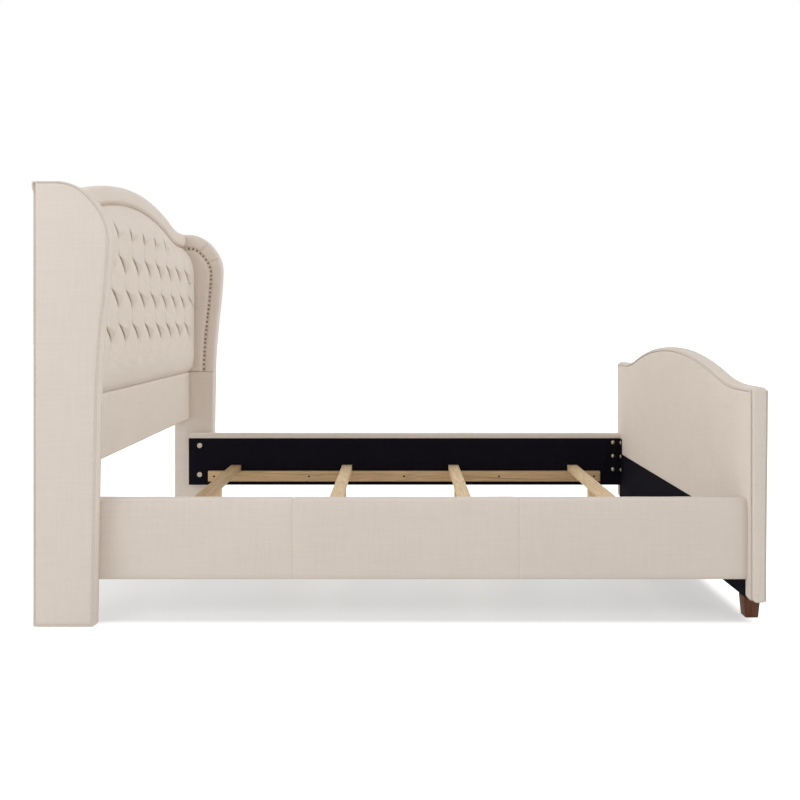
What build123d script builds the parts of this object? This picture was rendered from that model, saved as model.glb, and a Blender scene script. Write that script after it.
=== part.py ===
"""An upholstered panel bed: tufted headboard with wings, arched footboard, side rails and slats.

Sizes are in millimetres. +X runs from the head to the foot, +Y across the bed and +Z up. The origin is on
the floor under the middle of the bed. Left and right are as seen from the foot.
"""

import math
import os

from build123d import *

# The bed as a whole
rail_span = 1626.0  # outer face to outer face of the side rails
rail_length = 2083.0
headboard_depth = 78.0  # from the headboard's back to the head end of the rails
footboard_thickness = 50.0
soft_gap = 0.3  # between padded faces that press on each other
overrun = 1.0  # how far a cutter passes a face

# Side rails
rail_bottom = 126.0
rail_height = 248.0
rail_padding = 14.0
rail_board_thickness = 25.0
rail_top_padding = 12.0
rail_bottom_cloth = 2.0
rail_lining_thickness = 4.0
rail_cloth_turn = 23.0  # cloth turned down over the inner face
rail_crown = 3.0
rail_top_radius = 12.0
rail_inner_radius = 4.0
rail_lower_radius = 4.0
rail_seam_width = 2.0
rail_seam_depth = 1.5
rail_seam_shares = (0.333, 0.667)

# Ledgers and their screws
ledger_bottom = 146.0
ledger_height = 49.0
ledger_thickness = 20.0
ledger_head_inset = 97.0
ledger_foot_inset = 102.0
ledger_screw_count = 5
ledger_screw_inset = 29.0
screw_head_radius = 4.5
screw_head_height = 3.0
screw_shank_radius = 2.2
screw_bite = 16.0  # how deep a screw goes into the piece behind
screw_clearance = 0.1

# Slats, their legs and the levelling feet
slat_width = 48.0
slat_thickness = 28.0
slat_end_gap = 2.0
slat_place_shares = (0.110, 0.367, 0.613, 0.888)  # centres, from the rails' head end
slat_screw_inset = 8.0
leg_place = 296.0  # from the middle of the bed to the middle of a slat leg
leg_depth = 28.0
leg_bottom = 18.0
leg_screw_place = 12.0
leg_screw_bite = 45.0
insert_flange_radius = 10.0
insert_flange_thickness = 1.5
insert_barrel_radius = 6.0
insert_length = 15.0
stem_radius = 4.0
stem_clearance = 0.08
stem_length = 50.0
stem_bore_depth = 60.0
stem_bore_clearance = 1.0
foot_radius = 13.0
foot_height = 6.0
foot_edge = 1.5

# Headboard
headboard_bottom = 445.0
headboard_seam = 670.0  # where the tufted part meets the plain one
arch_peak = 1428.0
arch_rise = 91.0  # from the flat shoulders to the peak
arch_shoulder_width = 88.0  # the flat shoulder, from the rails' outer face to the arch
arch_crown_share = 0.754  # how much of the two arcs' radii the middle arc has
back_cover_thickness = 2.0
post_thickness = 28.0
post_width = 70.0
bottom_rail_height = 75.0
middle_rail_height = 60.0
top_rail_height = 85.0
panel_thickness = 12.0
border_height = 65.0  # from the arch down to the nails
border_top_padding = 12.0
border_thickness = 10.0
border_edge_radius = 8.0
flange_thickness = 3.0
nail_channel = 12.0  # width of the sunk strip that the nails stand in
lower_pad_thickness = 31.0
lower_pad_radius = 12.0

# Tufting: heights are from the plywood panel
tuft_columns = 10
tuft_row_shares = (0.238, 0.424, 0.610, 0.795)  # of the height from the seam to the shoulders
levels_below_rows = 3
tuft_crown = 57.0
tuft_valley = 41.0
tuft_dimple = 24.0
tuft_bottom_edge = 27.0
tuft_top_edge = 12.0
tuft_side_crown = 46.0
tuft_bottom_swell = 30.0  # from the seam up to the full thickness
tuft_fade = 70.0  # the lowest folds fade out this far below the lowest dimples
tuft_top_swell = 50.0
tuft_top_gap = 1.6  # the pad's straight facets clear the arch's hollow stretches

# Wings
glide_thickness = 3.0
glide_radius = 15.0
glide_inset = 45.0
wing_inner_padding = 12.0
wing_frame_thickness = 40.0
wing_cover_thickness = 6.0
boxing_thickness = 9.0
welt_width = 6.0
welt_radius = 2.0
wing_floor_reach = 102.0  # front edge from the rails' head end, at the floor
wing_waist_drop = 10.0  # below the headboard's seam
wing_waist_reach = 113.0
wing_flare_share = 0.442  # these heights are shares of that from the seam to the flat top
wing_flare_reach = 134.0
wing_widest_share = 0.720
wing_widest_reach = 149.0
wing_turn_share = 0.855
wing_turn_reach = 128.0
wing_top_reach = -11.0  # where the flat top ends
wing_border_width = 52.0  # from the front edge to the nails
wing_top_border = 67.0
wing_pad_radius = 6.0
wing_edge_radius = 5.0
wing_bolt_radius = 4.0
wing_bolt_head_radius = 7.0
wing_bolt_head_height = 6.0
wing_bolt_bite = 50.0
wing_bolt_shares = (0.08, 0.5, 0.92)

# Nailheads
nail_radius = 5.5
nail_height = 3.5
nail_shank_radius = 0.9
nail_shank_length = 10.0
nail_pitch = 20.5

# Bolts between the rails and the wings
head_bolt_place = 53.0  # from the rails' head end
head_bolt_heights = (176.0, 316.0)
head_bolt_radius = 12.5
head_bolt_height = 5.0
head_bolt_edge = 2.0
head_bolt_shank = 4.0
head_bolt_socket = 6.0
head_bolt_socket_depth = 3.0
bolt_clearance = 0.3
nut_flange_radius = 10.0
nut_flange_thickness = 1.5
nut_barrel_radius = 5.5
nut_barrel_length = 12.0

# Footboard
footboard_bottom = 65.0
footboard_overhang = 15.0  # from the rails' outer face to the welt at the footboard's end
foot_arch_peak = 804.5
foot_arch_rise = 96.5  # from the flat shoulders to the peak
foot_shoulder_width = 115.0  # the flat shoulder, from the welt to the arch
foot_arch_crown_share = 0.725
footboard_padding = 6.0
foot_boxing_crown = 2.0  # how far the boxing stands past the welts
foot_boxing_thickness = 10.0
foot_pad_radius = 3.0
black_panel_top = 275.0
black_panel_inset = 36.0  # from the footboard's end
black_panel_recess = 1.0
foot_leg_inset = 50.0
foot_leg_bottom_side = 40.0
foot_leg_top_side = 50.0
leg_bolt_radius = 5.0
leg_bolt_length = 90.0
leg_bolt_bite = 45.0

# Corner brackets and their bolts
bracket_thickness = 3.0
bracket_bottom = 185.0
bracket_height = 165.0
bracket_rail_width = 60.0
bracket_foot_width = 34.0
corner_bolt_heights = (202.0, 266.0, 331.0)
corner_bolt_rail_place = 36.0  # from the footboard
corner_bolt_foot_place = 16.0  # from the rail's lining
corner_bolt_radius = 10.0
corner_bolt_height = 6.0
corner_bolt_shank = 4.0
corner_bolt_length = 28.0

# Places that follow from the sizes above
back_x = -(headboard_depth + rail_length + footboard_thickness) / 2
head_x = back_x + headboard_depth
foot_x = head_x + rail_length
end_x = foot_x + footboard_thickness
rail_y = rail_span / 2
rail_top = rail_bottom + rail_height
board_outer_y = rail_y - rail_padding
board_inner_y = board_outer_y - rail_board_thickness
lining_y = board_inner_y - rail_lining_thickness
board_bottom = rail_bottom + rail_bottom_cloth
board_top = rail_top - rail_top_padding
ledger_y = lining_y - ledger_thickness
ledger_top = ledger_bottom + ledger_height
slat_top = ledger_top + slat_thickness
post_x = back_x + back_cover_thickness
panel_x = post_x + post_thickness
pad_x = panel_x + panel_thickness
pad_y = rail_y - soft_gap
wing_frame_y = rail_y + wing_inner_padding
wing_cover_y = wing_frame_y + wing_frame_thickness
wing_outer_y = wing_cover_y + wing_cover_thickness
arch_shoulder = arch_peak - arch_rise
arch_foot_y = rail_y - arch_shoulder_width
post_inner_y = wing_frame_y - post_width
post_top = arch_shoulder - border_top_padding
slat_centres = [head_x + share * rail_length for share in slat_place_shares]
slat_end_y = lining_y - slat_end_gap
footboard_half = rail_y + footboard_overhang
foot_arch_shoulder = foot_arch_peak - foot_arch_rise
foot_arch_foot_y = footboard_half - foot_shoulder_width
foot_frame_x = foot_x + footboard_padding
foot_outer_pad_x = end_x - footboard_padding
foot_leg_y = footboard_half - foot_leg_inset - foot_leg_bottom_side / 2
foot_leg_x = (foot_x + end_x) / 2


# Shapes that several pieces use
def block(x0, x1, y0, y1, z0, z1):
    """A box between two corners."""
    middle = Pos((x0 + x1) / 2, (y0 + y1) / 2, (z0 + z1) / 2)
    return middle * Box(x1 - x0, y1 - y0, z1 - z0)


def rectangle(x0, x1, y0, y1):
    """A flat rectangle between two corners."""
    return Pos((x0 + x1) / 2, (y0 + y1) / 2) * Rectangle(x1 - x0, y1 - y0)


def across(face, y0, y1):
    """A face drawn in X and Z, made solid from y0 to y1."""
    return extrude(Plane.XZ.offset(-y1) * face, amount=y1 - y0)


def along(face, x0, x1):
    """A face drawn in Y and Z, made solid from x0 to x1."""
    return extrude(Plane.YZ.offset(x0) * face, amount=x1 - x0)


def both_sides(piece):
    """A right-hand piece and its mirror image."""
    return [piece, mirror(piece, about=Plane.XZ)]


def left_and_right(name, piece):
    """The two nodes of a piece that each side of the bed has."""
    right, left = both_sides(piece)
    return {f"left_{name}": left, f"right_{name}": right}


def turned(points):
    """A solid turned about Z from a half outline of radius and height pairs."""
    return revolve(make_face(Plane.XZ * Polyline(*points, close=True)), Axis.Z)


def aimed(piece, x, y, z, direction):
    """A piece made at the origin along +Z, set at a place and pointed in a direction."""
    return Plane(origin=(x, y, z), z_dir=direction) * piece


def round_corner(start, end, centre):
    """A quarter arc between two points."""
    radius = math.dist(start, centre)
    lean = [(a + b) / 2 - c for a, b, c in zip(start, end, centre)]
    reach = radius / math.hypot(*lean)
    middle = tuple(c + part * reach for c, part in zip(centre, lean))
    return ThreePointArc(start, middle, end)


def wood_screw(bite, grip, clearance=0.0):
    """A countersunk screw whose head is flush at z = 0 and whose point is below."""
    head = screw_head_radius + clearance
    shank = screw_shank_radius + clearance
    length = grip + bite + clearance
    outline = [(0, 0), (head, 0), (shank, -screw_head_height), (shank, shank - length), (0, -length)]
    return turned(outline)


def dome(radius, height, shank, length):
    """A domed head that sits on z = 0, with its shank below."""
    sphere = (radius**2 + height**2) / (2 * height)
    half = math.asin(radius / sphere) / 2
    middle = (sphere * math.sin(half), height - sphere * (1 - math.cos(half)))
    outline = Line((0, height), (0, -length))
    outline += Line((0, -length), (shank, -length))
    outline += Line((shank, -length), (shank, 0))
    outline += Line((shank, 0), (radius, 0))
    outline += ThreePointArc((radius, 0), middle, (0, height))
    return revolve(make_face(Plane.XZ * outline), Axis.Z)


# Arched outlines
def arch_arcs(shoulder, peak, foot_y, crown_share, inset):
    """The arch's turn, and the radius and centre height of its high arc and of its hollow arcs."""
    rise = peak - shoulder
    radii = (foot_y**2 + rise**2) / (2 * rise)
    high = crown_share * radii
    hollow = radii - high
    return math.asin(foot_y / radii), high - inset, peak - high, hollow + inset, shoulder + hollow


def arch_edges(half, shoulder, peak, foot_y, crown_share, inset):
    """The top of an arched board: flat shoulders, two hollow arcs and one high arc, moved in by inset."""
    turn, high, high_z, hollow, hollow_z = arch_arcs(shoulder, peak, foot_y, crown_share, inset)
    meet_y = high * math.sin(turn)
    meet_z = high_z + high * math.cos(turn)
    mid_y = foot_y - hollow * math.sin(turn / 2)
    mid_z = hollow_z - hollow * math.cos(turn / 2)
    low = shoulder - inset
    return [
        Line((-half, low), (-foot_y, low)),
        ThreePointArc((-foot_y, low), (-mid_y, mid_z), (-meet_y, meet_z)),
        ThreePointArc((-meet_y, meet_z), (0, peak - inset), (meet_y, meet_z)),
        ThreePointArc((meet_y, meet_z), (mid_y, mid_z), (foot_y, low)),
        Line((foot_y, low), (half, low)),
    ]


def arched_face(edges, bottom):
    """The face under an arched top."""
    left, right = edges[0] @ 0, edges[-1] @ 1
    corners = [(right.X, right.Y), (right.X, bottom), (left.X, bottom), (left.X, left.Y)]
    return make_face(edges + [Polyline(*corners)])


def head_arch(half, inset):
    return arch_edges(half, arch_shoulder, arch_peak, arch_foot_y, arch_crown_share, inset)


def head_face(half, bottom, inset=0.0):
    return arched_face(head_arch(half, inset), bottom)


def foot_face(inset, bottom=footboard_bottom):
    """The footboard's outline, moved in from its welts by inset."""
    sizes = (foot_arch_shoulder, foot_arch_peak, foot_arch_foot_y, foot_arch_crown_share, inset)
    return arched_face(arch_edges(footboard_half - inset, *sizes), bottom)


def arch_height(y, inset):
    """The height of the headboard's arch at a place across the bed."""
    sizes = (arch_shoulder, arch_peak, arch_foot_y, arch_crown_share, inset)
    turn, high, high_z, hollow, hollow_z = arch_arcs(*sizes)
    if abs(y) >= arch_foot_y:
        return arch_shoulder - inset
    if abs(y) <= high * math.sin(turn):
        return high_z + math.sqrt(high**2 - y**2)
    return hollow_z - math.sqrt(hollow**2 - (arch_foot_y - abs(y)) ** 2)


# Wing outlines
def above_seam(share):
    """A height between the headboard's seam and its flat shoulders."""
    return headboard_seam + share * (arch_shoulder - headboard_seam)


def meeting_point(start, ahead, end, arrival):
    """Where two arcs meet that leave start in one direction and reach end in another."""
    chord = end - start
    lead = chord.dot(ahead + arrival)
    bend = 1 - ahead.dot(arrival)
    handle = (math.sqrt(lead**2 + 2 * bend * chord.dot(chord)) - lead) / (2 * bend)
    return (start + end + (ahead - arrival) * handle) / 2


def wing_front():
    """The wing's front edge from the floor to its flat top, as arcs that run into each other."""
    points = [
        Vector(head_x + wing_waist_reach, headboard_seam - wing_waist_drop),
        Vector(head_x + wing_flare_reach, above_seam(wing_flare_share)),
        Vector(head_x + wing_widest_reach, above_seam(wing_widest_share)),
        Vector(head_x + wing_turn_reach, above_seam(wing_turn_share)),
    ]
    edges = [Line((head_x + wing_floor_reach, glide_thickness), points[0])]
    for start, end in zip(points, points[1:]):
        edges.append(TangentArc(start, end, tangent=edges[-1] % 1))
    top = Vector(head_x + wing_top_reach, arch_shoulder)
    meet = meeting_point(points[-1], edges[-1] % 1, top, Vector(-1, 0))
    for start, end in ((points[-1], meet), (meet, top)):
        edges.append(TangentArc(start, end, tangent=edges[-1] % 1))
    return edges


def moved_in(edge, share, inset, drop):
    """A point on the wing's front edge, moved in from it and down."""
    place, ahead = edge @ share, edge % share
    return (place.X - ahead.Y * inset, place.Y + ahead.X * inset - drop)


def behind_front(edges):
    """The face from a front edge back to the wing's back."""
    foot, top = edges[0] @ 0, edges[-1] @ 1
    corners = [(top.X, top.Y), (back_x, top.Y), (back_x, foot.Y), (foot.X, foot.Y)]
    return make_face(edges + [Polyline(*corners)])


def wing_face():
    """The wing's whole outline, seen from the side."""
    return behind_front(wing_front())


def inside_nails(inset):
    """The part of the wing behind the line at inset from the nails' line, towards the headboard."""
    border = wing_border_width + inset
    drop = wing_top_border - wing_border_width
    straight, *arcs = wing_front()
    edges = [Line(moved_in(straight, 0, border, drop), moved_in(straight, 1, border, drop))]
    for arc in arcs:
        edges.append(ThreePointArc(*[moved_in(arc, share, border, drop) for share in (0, 0.5, 1)]))
    return behind_front(edges)


def wing_window():
    """The part of the wing's inner side that shows above the seam."""
    return rectangle(pad_x, end_x, headboard_seam, arch_peak)


# Headboard
def headboard_posts():
    post = block(post_x, panel_x, post_inner_y, wing_frame_y, headboard_bottom, post_top)
    for _, z in wing_bolt_places():
        x = post_x + post_thickness / 2
        hole = Cylinder(wing_bolt_radius, wing_bolt_bite * 2)
        post -= aimed(hole, x, wing_frame_y, z, (0, 1, 0))
    return both_sides(post)


def headboard_cross_rails():
    """Three rails between the posts, the top one cut to the arch."""
    low = block(
        post_x, panel_x, -post_inner_y, post_inner_y, headboard_bottom, headboard_bottom + bottom_rail_height
    )
    middle_z = headboard_seam - middle_rail_height / 2
    middle = block(post_x, panel_x, -post_inner_y, post_inner_y, middle_z, middle_z + middle_rail_height)
    outline = head_face(post_inner_y, post_top - top_rail_height, border_top_padding)
    return [low, middle, along(outline, post_x, panel_x)]


def headboard_panel():
    return along(head_face(wing_frame_y, headboard_bottom, border_top_padding), panel_x, pad_x)


def headboard_back_cover():
    return along(head_face(wing_frame_y, headboard_bottom, border_top_padding), back_x, post_x)


def headboard_border():
    """The padded border with the roll over the top and the sunk strip for the nails."""
    front_x = pad_x + border_thickness
    half_channel = nail_channel / 2
    band = head_face(pad_y, headboard_seam) - head_face(pad_y, headboard_seam, border_height - half_channel)
    band = along(band, pad_x, front_x)
    strip = head_face(pad_y, headboard_seam, border_height - half_channel)
    strip -= head_face(pad_y, headboard_seam, border_height + half_channel)
    front = band.faces().sort_by(Axis.X)[-1]
    band = fillet(front.edges(), border_edge_radius)
    roll = along(
        head_face(wing_frame_y, headboard_seam) - head_face(wing_frame_y, headboard_seam, border_top_padding),
        back_x,
        pad_x,
    )
    return band + roll + along(strip, pad_x, pad_x + flange_thickness)


def headboard_lower_pad():
    pad = block(pad_x, pad_x + lower_pad_thickness, -pad_y, pad_y, headboard_bottom, headboard_seam)
    return fillet(pad.faces().sort_by(Axis.X)[-1].edges(), lower_pad_radius)


def tuft_levels(y):
    """The heights at which the tufted pad's surface changes, bottom to top: three below the rows."""
    top = arch_height(y, border_height + nail_channel / 2 + tuft_top_gap)
    rows = [above_seam(share) for share in tuft_row_shares]
    bottom = headboard_seam + soft_gap
    return [bottom, bottom + tuft_bottom_swell, rows[0] - tuft_fade, *rows, top - tuft_top_swell, top]


def tuft_thickness(column, level, last):
    """How far the pad stands out at a crossing of the tufting grid, whose top level is last."""
    at_side = column in (0, 2 * tuft_columns)
    crown = tuft_side_crown if at_side else tuft_crown
    if level in (0, last):
        return tuft_top_edge if level else tuft_bottom_edge
    row = level - levels_below_rows
    in_line = (column + row) % 2 == 1
    if row in range(len(tuft_row_shares)):
        return tuft_dimple if in_line else crown
    return tuft_valley if level == last - 1 and not in_line else crown


def headboard_tufted_pad():
    """The diamond tufted pad: a closed shell of flat facets between dimples, valleys and crowns."""
    columns = range(2 * tuft_columns + 1)
    row_levels = range(levels_below_rows, levels_below_rows + len(tuft_row_shares))
    pitch = pad_y / tuft_columns
    grid = []
    for column in columns:
        y = (column - tuft_columns) * pitch
        heights = tuft_levels(y)
        last = len(heights) - 1
        stands = [pad_x + tuft_thickness(column, level, last) for level in range(last + 1)]
        grid.append([Vector(x, y, z) for x, z in zip(stands, heights)])
    faces = []
    for left, right in zip(grid, grid[1:]):
        for low in range(len(left) - 1):
            corners = [left[low], right[low], right[low + 1], left[low + 1]]
            middle = sum(corners, Vector(0, 0, 0)) / len(corners)
            if low in row_levels[:-1]:
                middle = Vector(pad_x + tuft_valley, middle.Y, middle.Z)
            for start, end in zip(corners, corners[1:] + corners[:1]):
                faces.append(Face(Wire.make_polygon([start, end, middle])))
    behind = [[Vector(pad_x, point.Y, point.Z) for point in line] for line in grid]
    for front, back in ((grid[0], behind[0]), (grid[-1], behind[-1])):
        faces.append(Face(Wire.make_polygon([*front, back[-1], back[0]])))
    for end in (0, -1):
        for one, two in zip(range(len(grid)), range(1, len(grid))):
            edge = [grid[one][end], grid[two][end], behind[two][end], behind[one][end]]
            faces.append(Face(Wire.make_polygon(edge)))
    lower = [line[0] for line in behind]
    upper = [line[-1] for line in reversed(behind)]
    faces.append(Face(Wire.make_polygon(lower + upper)))
    return Solid(Shell(faces))


# Nailheads
def spaced(points, pitch):
    """Points at an even pitch along a close-set line of points."""
    total = sum(math.dist(a, b) for a, b in zip(points, points[1:]))
    count = round(total / pitch)
    kept, walked = [points[0]], 0.0
    for start, end in zip(points, points[1:]):
        walked += math.dist(start, end)
        if walked >= len(kept) * total / count:
            kept.append(end)
    return kept


def arch_nail_places():
    """Where the nails stand across the headboard, in Y and Z."""
    fine = 400
    half = rail_y - nail_radius * 2
    across_bed = [-half + 2 * half * n / fine for n in range(fine + 1)]
    return spaced([(y, arch_height(y, border_height)) for y in across_bed], nail_pitch)


def wing_nail_places():
    """Where the nails stand on a wing, in X and Z, from the seam up and over to the headboard."""
    fine = 100
    drop = wing_top_border - wing_border_width
    points = []
    for edge in wing_front():
        points += [moved_in(edge, n / fine, wing_border_width, drop) for n in range(fine + 1)]
    return spaced([(x, z) for x, z in points if z > headboard_seam + nail_radius * 2], nail_pitch)


def nailheads():
    nail = dome(nail_radius, nail_height, nail_shank_radius, nail_shank_length)
    on_arch = [aimed(nail, pad_x + flange_thickness, y, z, (1, 0, 0)) for y, z in arch_nail_places()]
    wing_y = wing_frame_y - flange_thickness
    on_wing = [aimed(nail, x, wing_y, z, (0, -1, 0)) for x, z in wing_nail_places()]
    other = [aimed(nail, x, -wing_y, z, (0, 1, 0)) for x, z in wing_nail_places()]
    return on_arch + on_wing + other


# Wings
def wing_bolt_places():
    x = post_x + post_thickness / 2
    return [(x, headboard_bottom + share * (post_top - headboard_bottom)) for share in wing_bolt_shares]


def wing_frame():
    frame = across(offset(wing_face(), amount=-boxing_thickness), wing_frame_y, wing_cover_y)
    for x, z in wing_bolt_places():
        frame -= aimed(Cylinder(wing_bolt_radius, wing_bolt_bite * 2), x, wing_frame_y, z, (0, 1, 0))
        head = Cylinder(wing_bolt_head_radius, wing_bolt_head_height * 2)
        frame -= aimed(head, x, wing_cover_y, z, (0, 1, 0))
    for z in head_bolt_heights:
        x = head_x + head_bolt_place
        frame -= aimed(Cylinder(nut_barrel_radius, wing_frame_thickness * 2), x, wing_cover_y, z, (0, 1, 0))
        frame -= aimed(Cylinder(nut_flange_radius, nut_flange_thickness * 2), x, wing_cover_y, z, (0, 1, 0))
    return frame


def wing_bolts():
    """Bolts from each wing frame into the headboard's posts."""
    bolts = []
    length = wing_bolt_bite + wing_frame_thickness - wing_bolt_head_height
    for x, z in wing_bolt_places():
        shank = Pos(0, 0, -length / 2) * Cylinder(wing_bolt_radius, length)
        head = Pos(0, 0, wing_bolt_head_height / 2) * Cylinder(wing_bolt_head_radius, wing_bolt_head_height)
        bolt = aimed(shank + head, x, wing_cover_y - wing_bolt_head_height, z, (0, 1, 0))
        bolts += both_sides(bolt)
    return bolts


def wing_boxing():
    """The band round the wing's edge, and its turn on the inner side as far as the nails."""
    half_channel = nail_channel / 2
    ring = across(wing_face() - offset(wing_face(), amount=-boxing_thickness), wing_frame_y, wing_cover_y)
    window = wing_window()
    turn = (wing_face() & window) - inside_nails(-half_channel)
    turn = across(turn, rail_y, wing_frame_y)
    turn = fillet(turn.faces().sort_by(Axis.Y)[0].edges(), wing_edge_radius)
    strip = (inside_nails(-half_channel) - inside_nails(half_channel)) & window
    return ring + turn + across(strip, wing_frame_y - flange_thickness, wing_frame_y)


def wing_inner_pad():
    pad = across(inside_nails(nail_channel / 2 + soft_gap) & wing_window(), rail_y, wing_frame_y)
    return fillet(pad.faces().sort_by(Axis.Y)[0].edges(), wing_pad_radius)


def wing_lower_cover():
    """The cloth below the seam on the wing's inner side, cut round the headboard."""
    outline = wing_face() & rectangle(back_x, end_x, glide_thickness, headboard_seam - soft_gap)
    outline -= rectangle(back_x - overrun, pad_x, headboard_bottom - soft_gap, headboard_seam)
    cover = across(outline, rail_y, wing_frame_y)
    for z in head_bolt_heights:
        hole = Cylinder(head_bolt_shank + bolt_clearance, wing_inner_padding * 4)
        cover -= aimed(hole, head_x + head_bolt_place, rail_y, z, (0, 1, 0))
    return cover


def wing_outer_cover():
    cover = across(offset(wing_face(), amount=-welt_width), wing_cover_y, wing_outer_y)
    return fillet(cover.faces().sort_by(Axis.Y)[-1].edges(), welt_radius)


def wing_welt():
    ring = across(wing_face() - offset(wing_face(), amount=-welt_width), wing_cover_y, wing_outer_y)
    return fillet(ring.faces().sort_by(Axis.Y)[-1].edges(), welt_radius)


def wing_glides():
    glides = []
    for x in (back_x + glide_inset, head_x + wing_floor_reach - glide_inset):
        glide = Pos(x, wing_frame_y + wing_frame_thickness / 2, glide_thickness / 2)
        glides += both_sides(glide * Cylinder(glide_radius, glide_thickness))
    return glides


# Side rails
def rail_cover_face(shrink=0.0):
    """The padding's section: round the board, over its top and a little down the inner side."""
    outer = rail_y - soft_gap - shrink
    edge = outer - rail_crown
    top = rail_top - shrink
    turn = rail_top - rail_cloth_turn
    low = rail_bottom
    high_r, low_r, in_r = rail_top_radius, rail_lower_radius, rail_inner_radius
    outline = [
        Line((lining_y, turn), (lining_y, top - in_r)),
        round_corner((lining_y, top - in_r), (lining_y + in_r, top), (lining_y + in_r, top - in_r)),
        Line((lining_y + in_r, top), (edge - high_r, top)),
        round_corner((edge - high_r, top), (edge, top - high_r), (edge - high_r, top - high_r)),
        ThreePointArc((edge, top - high_r), (outer, (top + low) / 2), (edge, low + low_r)),
        round_corner((edge, low + low_r), (edge - low_r, low), (edge - low_r, low + low_r)),
        Polyline(
            (edge - low_r, low),
            (board_inner_y, low),
            (board_inner_y, board_bottom),
            (board_outer_y, board_bottom),
            (board_outer_y, board_top),
            (board_inner_y, board_top),
            (board_inner_y, turn),
            (lining_y, turn),
        ),
    ]
    return make_face(outline)


def rail_cover():
    cover = along(rail_cover_face(), head_x, foot_x)
    groove = rail_cover_face() - rail_cover_face(rail_seam_depth)
    for share in rail_seam_shares:
        x = head_x + share * rail_length
        cover -= along(groove, x - rail_seam_width / 2, x + rail_seam_width / 2)
    for z in head_bolt_heights:
        hole = Cylinder(head_bolt_shank + bolt_clearance, rail_padding * 4)
        cover -= aimed(hole, head_x + head_bolt_place, rail_y, z, (0, 1, 0))
    return cover


def rail_holes():
    """Everything that is drilled through the board and the lining, as one set of cutters."""
    holes = []
    reach = rail_board_thickness * 4
    for z in head_bolt_heights:
        hole = Cylinder(head_bolt_shank + bolt_clearance, reach)
        holes.append(aimed(hole, head_x + head_bolt_place, board_inner_y, z, (0, 1, 0)))
    bite = corner_bolt_length + bolt_clearance
    for z in corner_bolt_heights:
        hole = Pos(0, 0, -bite / 2) * Cylinder(corner_bolt_shank, bite)
        x, y = foot_x - corner_bolt_rail_place, lining_y - bracket_thickness
        holes.append(aimed(hole, x, y, z, (0, -1, 0)))
    screw = wood_screw(screw_bite, ledger_thickness + rail_lining_thickness, screw_clearance)
    z = ledger_bottom + ledger_height / 2
    holes += [aimed(screw, x, ledger_y, z, (0, -1, 0)) for x in ledger_screw_places()]
    return holes


def rail_board():
    board = block(head_x, foot_x, board_inner_y, board_outer_y, board_bottom, board_top)
    for hole in rail_holes():
        board -= hole
    return board


def rail_lining():
    lining = block(head_x, foot_x, lining_y, board_inner_y, rail_bottom, rail_top - rail_cloth_turn)
    for hole in rail_holes():
        lining -= hole
    return lining


def ledger_screw_places():
    first = head_x + ledger_head_inset + ledger_screw_inset
    last = foot_x - ledger_foot_inset - ledger_screw_inset
    return [first + (last - first) * n / (ledger_screw_count - 1) for n in range(ledger_screw_count)]


def ledger():
    strip = block(
        head_x + ledger_head_inset, foot_x - ledger_foot_inset, ledger_y, lining_y, ledger_bottom, ledger_top
    )
    screw = wood_screw(screw_bite, ledger_thickness + rail_lining_thickness, screw_clearance)
    for x in ledger_screw_places():
        strip -= aimed(screw, x, ledger_y, ledger_bottom + ledger_height / 2, (0, -1, 0))
    slat_screw = wood_screw(screw_bite, slat_thickness, screw_clearance)
    for x in slat_centres:
        strip -= aimed(slat_screw, x, slat_end_y - slat_screw_inset, slat_top, (0, 0, 1))
    return strip


def ledger_screws():
    screw = wood_screw(screw_bite, ledger_thickness + rail_lining_thickness)
    screws = []
    for x in ledger_screw_places():
        screws += both_sides(aimed(screw, x, ledger_y, ledger_bottom + ledger_height / 2, (0, -1, 0)))
    return screws


def head_bolt():
    """A low round head with a hexagon socket, and its shank."""
    radius, edge = head_bolt_radius, head_bolt_edge
    length = wing_cover_y - lining_y - nut_flange_thickness
    outline = [
        (0, head_bolt_height),
        (radius - edge, head_bolt_height),
        (radius, head_bolt_height - edge),
        (radius, 0),
        (head_bolt_shank, 0),
        (head_bolt_shank, -length),
        (0, -length),
    ]
    socket = extrude(RegularPolygon(head_bolt_socket, 6), amount=head_bolt_socket_depth + overrun)
    return turned(outline) - Pos(0, 0, head_bolt_height - head_bolt_socket_depth) * socket


def head_bolts():
    bolts = []
    for z in head_bolt_heights:
        bolts += both_sides(aimed(head_bolt(), head_x + head_bolt_place, lining_y, z, (0, -1, 0)))
    return bolts


# Footboard
def corner_bolt_holes():
    """Holes in the footboard for the corner brackets' bolts, right-hand side."""
    bite = corner_bolt_length + bolt_clearance
    hole = Pos(0, 0, -bite / 2) * Cylinder(corner_bolt_shank, bite)
    y = lining_y - corner_bolt_foot_place
    return [aimed(hole, foot_x - bracket_thickness, y, z, (-1, 0, 0)) for z in corner_bolt_heights]


def drilled(piece, holes):
    """A piece less its holes and their mirror images."""
    for hole in holes:
        for cutter in both_sides(hole):
            piece -= cutter
    return piece


def footboard_frame():
    inset = foot_boxing_thickness - foot_boxing_crown
    frame = along(foot_face(inset), foot_frame_x, foot_outer_pad_x)
    bolt = Cylinder(leg_bolt_radius, leg_bolt_bite * 2)
    return drilled(frame, corner_bolt_holes() + [Pos(foot_leg_x, foot_leg_y, footboard_bottom) * bolt])


def black_panel_half(gap=0.0):
    return footboard_half - black_panel_inset - gap


def footboard_inner_pad():
    outline = foot_face(welt_width)
    half = black_panel_half()
    outline -= rectangle(-half, half, footboard_bottom - overrun, black_panel_top)
    pad = along(outline, foot_x, foot_frame_x)
    pad = fillet(pad.faces().sort_by(Axis.X)[0].edges(), foot_pad_radius)
    return drilled(pad, corner_bolt_holes())


def footboard_black_panel():
    half = black_panel_half(soft_gap)
    top = black_panel_top - soft_gap
    panel = block(foot_x + black_panel_recess, foot_frame_x, -half, half, footboard_bottom, top)
    return drilled(panel, corner_bolt_holes())


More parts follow.
